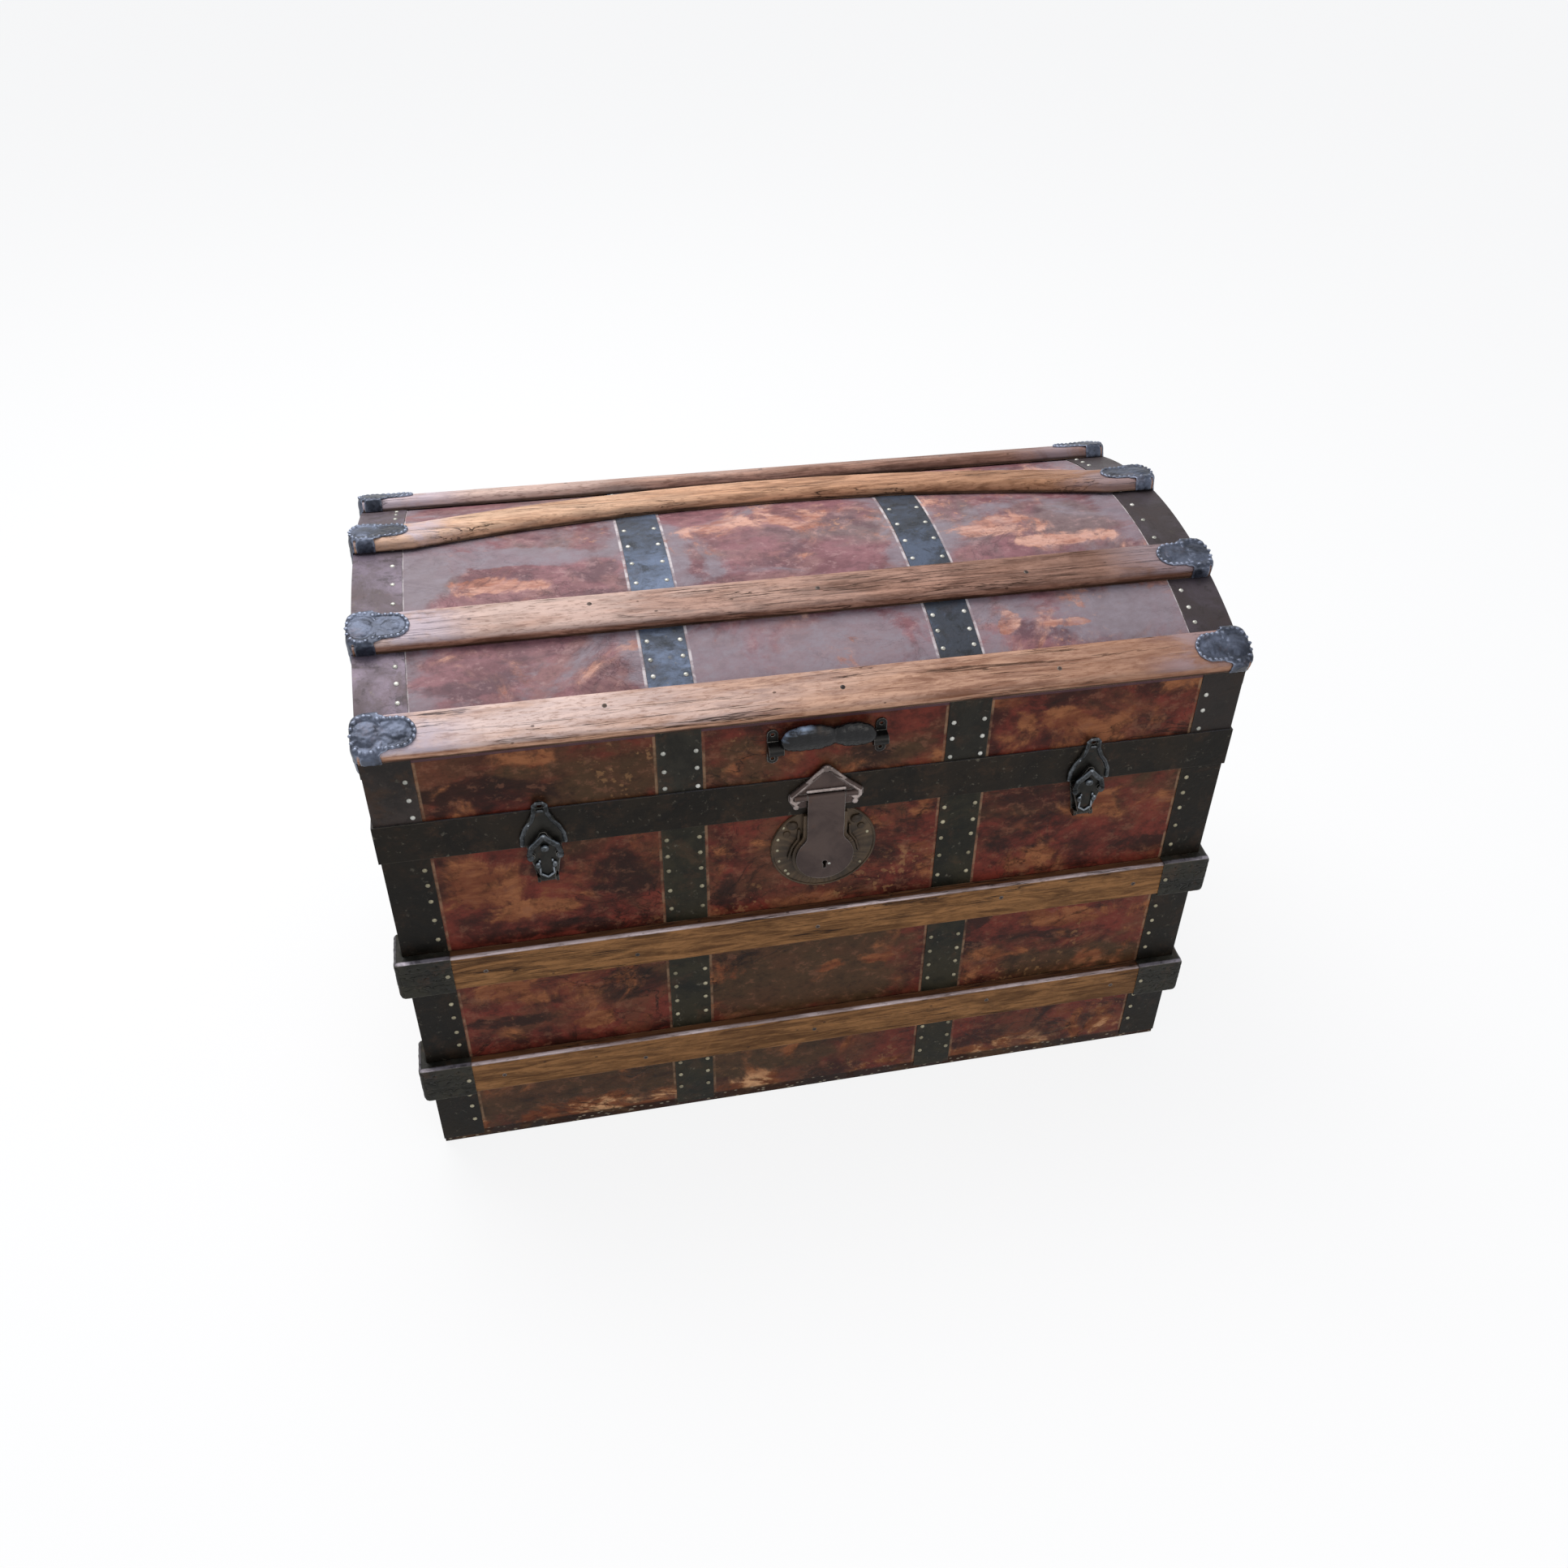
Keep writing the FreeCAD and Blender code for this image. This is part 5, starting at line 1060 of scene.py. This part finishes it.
for step in range(11):
    angle = math.radians(70 + 22 * step)
    beads.append(lump((BULB_X + 0.0175 * math.cos(angle) * 0.75, 0.0195 * math.sin(angle), 0.0148), 0.0021, FLAT_BEAD))
swells = [lump((0.008, 0, 0.0138), 0.0125, (1, 1.1, 0.17)), lump((0.036, 0, 0.0140), 0.0075, (1.3, 1, 0.14))]
clamp = merged([clamp] + swells + beads)
skin(clamp, 0.00085, 1, pebbles, 0.0006)
applied(clamp, "DISPLACE", texture=dents, strength=0.0009, mid_level=0.5, texture_coords="LOCAL")
applied(clamp, "SMOOTH", iterations=2, factor=0.5)

# %% [markdown]
# ### Eight places for it
# The right ends are mirror images of the left ones. The bowed slat's ends lie half its bow to the other side.

# %% The lid clamps in place
ENDS = ((FRONT_SLAT, 0.0), (INNER_SLAT, 0.0), (BOWED_SLAT, -BOW / 2), (BACK_SLAT, 0.0))
places = [on_arch(along, -END, SHEET) @ Matrix.Translation((0, across, 0)) for along, across in ENDS]


def both_ends(clamp, places, name, body, finish, node):
    """Lay a clamp at its places on the left and, mirrored, on the right; each set stands for a CAD node."""
    for word, turned in (("left", places), ("right", [MIRROR @ place for place in places])):
        finished(laid(clamp, turned), f"{name}_{word}", body, "clamp_iron", finish, f"{node}_{word}")
    discard(clamp)


both_ends(clamp, places, "cast_clamps", "lid", clamp_iron, "lid_clamps")

# %% [markdown]
# ## Case clamps
# The clamps on the case are plainer: a hollow cap that reaches round the corner, with three low ribs between two
# grooves and its corners worn round. It is modelled the same way up as the lid's.

# %% One case clamp and its eight places
GROOVES = ((-0.0110, -0.0070), (0.0070, 0.0110))

clamp = brick((-0.011, -BULB, -0.033), (0.046, BULB, 0.0143), 0.006,
              lambda middle, along: middle.x < -0.005 and (middle.z > 0 or abs(along.z) > 0.03), 4)
cut(clamp, brick((0.0, -SLAT_HALF, -0.001), (0.06, SLAT_HALF, SLAT_HEIGHT)),
    brick((-0.001, -0.03, -0.04), (0.06, 0.03, 0.0)),
    brick((-0.009, -SLAT_HALF, -0.031), (0.001, SLAT_HALF, SLAT_HEIGHT)),
    *[brick((-0.02, low, 0.0133), (0.06, high, 0.02)) for low, high in GROOVES],
    *[brick((-0.02, low, -0.04), (-0.0101, high, 0.02)) for low, high in GROOVES])
skin(clamp, 0.0010, 3, dents, 0.0010, 1.0)
places = [upright(-END, z, side, FACE + SHEET) for z in CASE_SLAT_ROWS for side in (-1, 1)]
both_ends(clamp, places, "worn_clamps", "case", case_clamp_iron, "slat_clamps")

# %% [markdown]
# ## Hasp and lock plate
# The hasp's plate is bordered by thick round ribs that shine where hands rubbed them, with a bar across, a stud
# at its point and small beads where the ribs curl at the lower corners. The round lock plate has a low rolled
# edge, two lumps beside the hasp's neck, and nails on its left side.

# %% Ribs and stud of the hasp's plate
PLATE_Y = -0.2335
PIN_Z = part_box("hasp_pin")[0][2] + 0.0016

parts = [lump((0, PLATE_Y, PIN_Z + 0.0335), 0.0042, (1, 0.55, 1))]
for side in (-1, 1):
    parts += [
        bar((side * 0.0040, PLATE_Y, PIN_Z + 0.0325), (side * 0.0345, PLATE_Y, PIN_Z + 0.0015), 0.0026, 0.75),
        bar((side * 0.0060, PLATE_Y + 0.0006, PIN_Z + 0.0262), (side * 0.0290, PLATE_Y + 0.0006, PIN_Z + 0.0032),
            0.0010),
        path([(side * 0.0345, PLATE_Y, PIN_Z + 0.0015), (side * 0.0350, PLATE_Y, PIN_Z - 0.0040),
              (side * 0.0310, PLATE_Y, PIN_Z - 0.0075), (side * 0.0270, PLATE_Y, PIN_Z - 0.0040)], 0.0022, 0.75),
        lump((side * 0.0300, PLATE_Y, PIN_Z - 0.0120), 0.0033, (1, 0.6, 1)),
        lump((side * 0.0240, PLATE_Y - 0.001, PIN_Z - 0.0010), 0.0034, (1, 0.6, 1))]
# The bar across stands just high enough for the lifted hasp to pass under it
parts.append(bar((-0.0185, PLATE_Y - 0.0006, PIN_Z + 0.0067), (0.0185, PLATE_Y - 0.0006, PIN_Z + 0.0067), 0.0019, 0.75))
ribs = skin(merged(parts), 0.0006, 1, dents, 0.0004)
finished(ribs, "hasp_plate_ribs", "lid", "lock_steel", bright_steel)

# %% [markdown]
# ### The rolled edge
# The round plate's edge is a ring of bar. The lid hides its highest part, so the ring is cut off at the rim, and
# the hollow left by the cut is closed.

# %% Rolled edge and lumps of the lock plate
LOCK_Z = RIM - 0.047
rolled = ring((0, -0.2296, LOCK_Z), 0.0536, 0.0012)
with editing(rolled):
    bpy.ops.mesh.select_all(action="SELECT")
    bpy.ops.mesh.bisect(plane_co=(0, 0, RIM - 0.0004), plane_no=(0, 0, 1), use_fill=True, clear_outer=True)
parts = [rolled]
for side in (-1, 1):
    parts += [path([(side * 0.0262, -0.2312, LOCK_Z + 0.026), (side * 0.0268, -0.2312, LOCK_Z + 0.014),
                    (side * 0.0330, -0.2312, LOCK_Z + 0.004), (side * 0.0368, -0.2312, LOCK_Z - 0.010)], 0.0016),
              lump((side * 0.0330, -0.2305, LOCK_Z + 0.0325), 0.0062, (1, 0.5, 0.85)),
              lump((side * 0.0385, -0.2300, LOCK_Z + 0.0215), 0.0040, (1, 0.5, 1))]
rolled = skin(merged(parts), 0.0007, 1, dents, 0.0005)
finished(rolled, "lock_plate_edge", "case", "lock_steel", plate_steel)

# %% [markdown]
# ### Nails, rivet and painted glint
# The lock plate is nailed at its edge, mostly on the left. The hasp has one flat rivet, and a small bright lump
# beside its keyhole is a painted glint.

# %% Nails of the lock plate, rivet and painted glint of the hasp
PLATE_FRONT = 0.2294
HASP_FRONT = 0.2366
PLATE_NAILS = ((-0.0420, 0.0300), (-0.0475, 0.0150), (-0.0480, 0.0005), (-0.0462, -0.0145), (-0.0395, -0.0285),
               (-0.0365, -0.0335), (0.0455, 0.0120), (0.0395, -0.0290))

head = tack_pattern(0.0019, 0.0011)
places = [upright(x, LOCK_Z + z, -1, PLATE_FRONT) for x, z in PLATE_NAILS]
finished(laid(head, places), "lock_plate_nails", "case", "lock_steel", nail_metal)
discard(head)
rivet = tack_pattern(0.0022, 0.0009)
finished(laid(rivet, [upright(0.0005, LOCK_Z + 0.017, -1, HASP_FRONT)]), "hasp_rivet", "hasp", "lock_steel", lock_steel)
discard(rivet)
# A painted glint: a bright lump beside the keyhole
glint = lump((0.0048, -HASP_FRONT - 0.0002, LOCK_Z - 0.0185), 0.0027, (1, 0.5, 0.8))
skin(glint, 0.0003, 1, dents, 0.0003)
finished(glint, "hasp_painted_glint", "hasp", "lock_steel", lid_nail_metal)

# %% [markdown]
# ## Draw latches
# The keeper is an arch of thick round bar with a square eye on top. The lever hangs on it by a bright, curved
# yoke with a lobe and a stud on each side, and runs down to a narrow, rounded thumb piece.

# %% Keeper arches and latch yokes
LATCH_X = 0.278
KEEPER_Y = -0.2334
YOKE_Y = -0.2392
ARCH_SIDE = ((0.0205, 0.4375), (0.0200, 0.4470), (0.0160, 0.4570), (0.0095, 0.4665), (0.0062, 0.4760), (0.0058, 0.4840))
YOKE_SIDE = ((0.0150, 0.0, 0.4285), (0.0125, 0.0, 0.4375), (0.0060, -0.0006, 0.4440), (0.0, -0.0008, 0.4505))
THUMB_SIDE = ((0.0062, 0.001, 0.4190), (0.0066, 0.001, 0.4020), (0.0, 0.001, 0.3970))


def both_sides(half, y):
    """The points of a line that runs from the left over the middle to the right, from its right half."""
    left = [(-x, y + out, z) for x, out, z in half]
    return left + [(-x, front, z) for x, front, z in reversed(left[:-1])]


keeper = merged([
    *[path([(side * x, KEEPER_Y, z) for x, z in ARCH_SIDE], 0.0023, 0.8) for side in (-1, 1)],
    path([(-0.0055, KEEPER_Y, 0.4848), (-0.0030, KEEPER_Y, 0.4872), (0.0030, KEEPER_Y, 0.4872),
          (0.0055, KEEPER_Y, 0.4848)], 0.0020, 0.8),
    bar((-0.0055, KEEPER_Y, 0.4775), (0.0055, KEEPER_Y, 0.4775), 0.0016, 0.8)])
skin(keeper, 0.0006, 1, dents, 0.0004)
yoke = merged([
    path(both_sides(YOKE_SIDE, YOKE_Y), 0.0029, 0.8),
    *[lump((side * 0.0142, YOKE_Y, 0.4255), 0.0042, (0.9, 0.75, 1.1)) for side in (-1, 1)],
    lump((0.0, YOKE_Y, 0.4350), 0.0046, (1, 0.6, 0.8)),
    *[lump((side * 0.0080, YOKE_Y, 0.4140), 0.0030, (0.9, 0.7, 1.2)) for side in (-1, 1)],
    path(both_sides(THUMB_SIDE, YOKE_Y), 0.0012)])
skin(yoke, 0.0006, 1, dents, 0.0005)
for side, word in ((-1, "left"), (1, "right")):
    place = [Matrix.Translation((side * LATCH_X, 0, 0))]
    finished(laid(keeper, place), f"keeper_arch_{word}", "lid", "latch_steel", latch_bright)
    finished(laid(yoke, place), f"latch_yoke_{word}", f"latch_lever_{word}", "latch_steel", latch_bright)
discard(keeper)
discard(yoke)

# %% [markdown]
# ## Slat nails and clamp nails
# The case's slats are fixed with five dark flat-headed nails each, 150 to 200 mm apart and a little out of line,
# the lid's straight ones with three. A brighter, domed nail holds the inner end of each case clamp.

# %% Nails along the slats
CASE_NAILS = (-0.352, -0.198, -0.006, 0.198, 0.352)
LID_NAILS = (-0.208, 0.016, 0.232)
SLAT_FRONT, CLAMP_FRONT = 0.2419, 0.2428


def wander(x):
    """How far a slat's nail at this place is out of line."""
    return 0.006 * math.sin(9 * x)


head = tack_pattern(0.0026, 0.0006)
places = [upright(x, z + wander(x), side, SLAT_FRONT) for side in (-1, 1) for z in CASE_SLAT_ROWS for x in CASE_NAILS]
finished(laid(head, places), "case_slat_nails", "case", "lock_steel", dark_nail)
places = [on_arch(along + wander(x), x, SHEET + SLAT_HEIGHT - 0.0001) for along in (FRONT_SLAT, INNER_SLAT, BACK_SLAT)
          for x in LID_NAILS]
finished(laid(head, places), "lid_slat_nails", "lid", "lock_steel", dark_nail)
discard(head)
head = tack_pattern(0.0026, 0.0012)
places = [upright(side * (END - 0.040), z, face, CLAMP_FRONT) for side in (-1, 1) for face in (-1, 1)
          for z in CASE_SLAT_ROWS]
finished(laid(head, places), "clamp_nails", "case", "lock_steel", nail_metal)
discard(head)

# %% [markdown]
# ## Leather grips
# The grips are stacked leather sewn round a core. The lid's has swollen into two lobes with a fold between them,
# and its face is polished. The ends' grips are plain and full. Each keeps its two iron pivots.

# %% Grips
def creased(piece, name, node, depth):
    """Press dents and fine wrinkles into a skin of leather, and let it stand for a CAD grip."""
    applied(piece, "DISPLACE", texture=dents, strength=depth, mid_level=1.0, texture_coords="LOCAL")
    applied(piece, "DISPLACE", texture=wrinkles, strength=depth * 0.4, mid_level=1.0, texture_coords="LOCAL")
    only(piece)
    bpy.ops.object.shade_smooth()
    return finished(piece, name, node, "grip_leather", leather, node)


def end_grip(node, name):
    """The grip of an end handle: its CAD form under an even skin."""
    piece = bpy.data.objects.new(name, nodes[node].data.copy())
    piece.data.transform(nodes[node].matrix_world)
    bpy.context.collection.objects.link(piece)
    with editing(piece):
        bpy.ops.mesh.select_all(action="SELECT")
        bpy.ops.mesh.remove_doubles(threshold=0.00002)
    skin(piece, 0.0009, 2)
    return creased(piece, name, node, 0.0010)


wrinkles = pattern_of("VORONOI", "wrinkles", 0.0030)
GRIP_Y = -0.2378
GRIP_HALF_DEPTH = 0.0065
PIVOT_Y, PIVOT_Z = -0.236, 0.521
# Places along the lid's grip, their heights, and how thick it has swollen there
SWELLS = ((-0.0385, 0.5300, 0.0092), (-0.0330, 0.5322, 0.0132), (-0.0265, 0.5330, 0.0146), (-0.0185, 0.5332, 0.0148),
          (-0.0105, 0.5332, 0.0146), (-0.0030, 0.5330, 0.0122), (0.0135, 0.5326, 0.0114), (0.0200, 0.5322, 0.0140),
          (0.0275, 0.5320, 0.0142), (0.0335, 0.5310, 0.0128), (0.0385, 0.5294, 0.0092))
parts = [lump((x, GRIP_Y, z), radius, (1, GRIP_HALF_DEPTH / radius, 1)) for x, z, radius in SWELLS]
for side in (-1, 1):
    parts.append(path([(side * 0.0380, PIVOT_Y, 0.5275), (side * 0.0430, PIVOT_Y, 0.5225),
                       (side * 0.0480, PIVOT_Y, PIVOT_Z)], 0.0024))
parts.append(bar((0.0040, GRIP_Y + 0.0012, 0.5260), (0.0085, GRIP_Y + 0.0012, 0.5390), 0.0040))
creased(skin(merged(parts), 0.0006, 3), "lid_grip", "lid_handle", 0.0003)
end_grip("end_handle_left", "end_grip_left")
end_grip("end_handle_right", "end_grip_right")
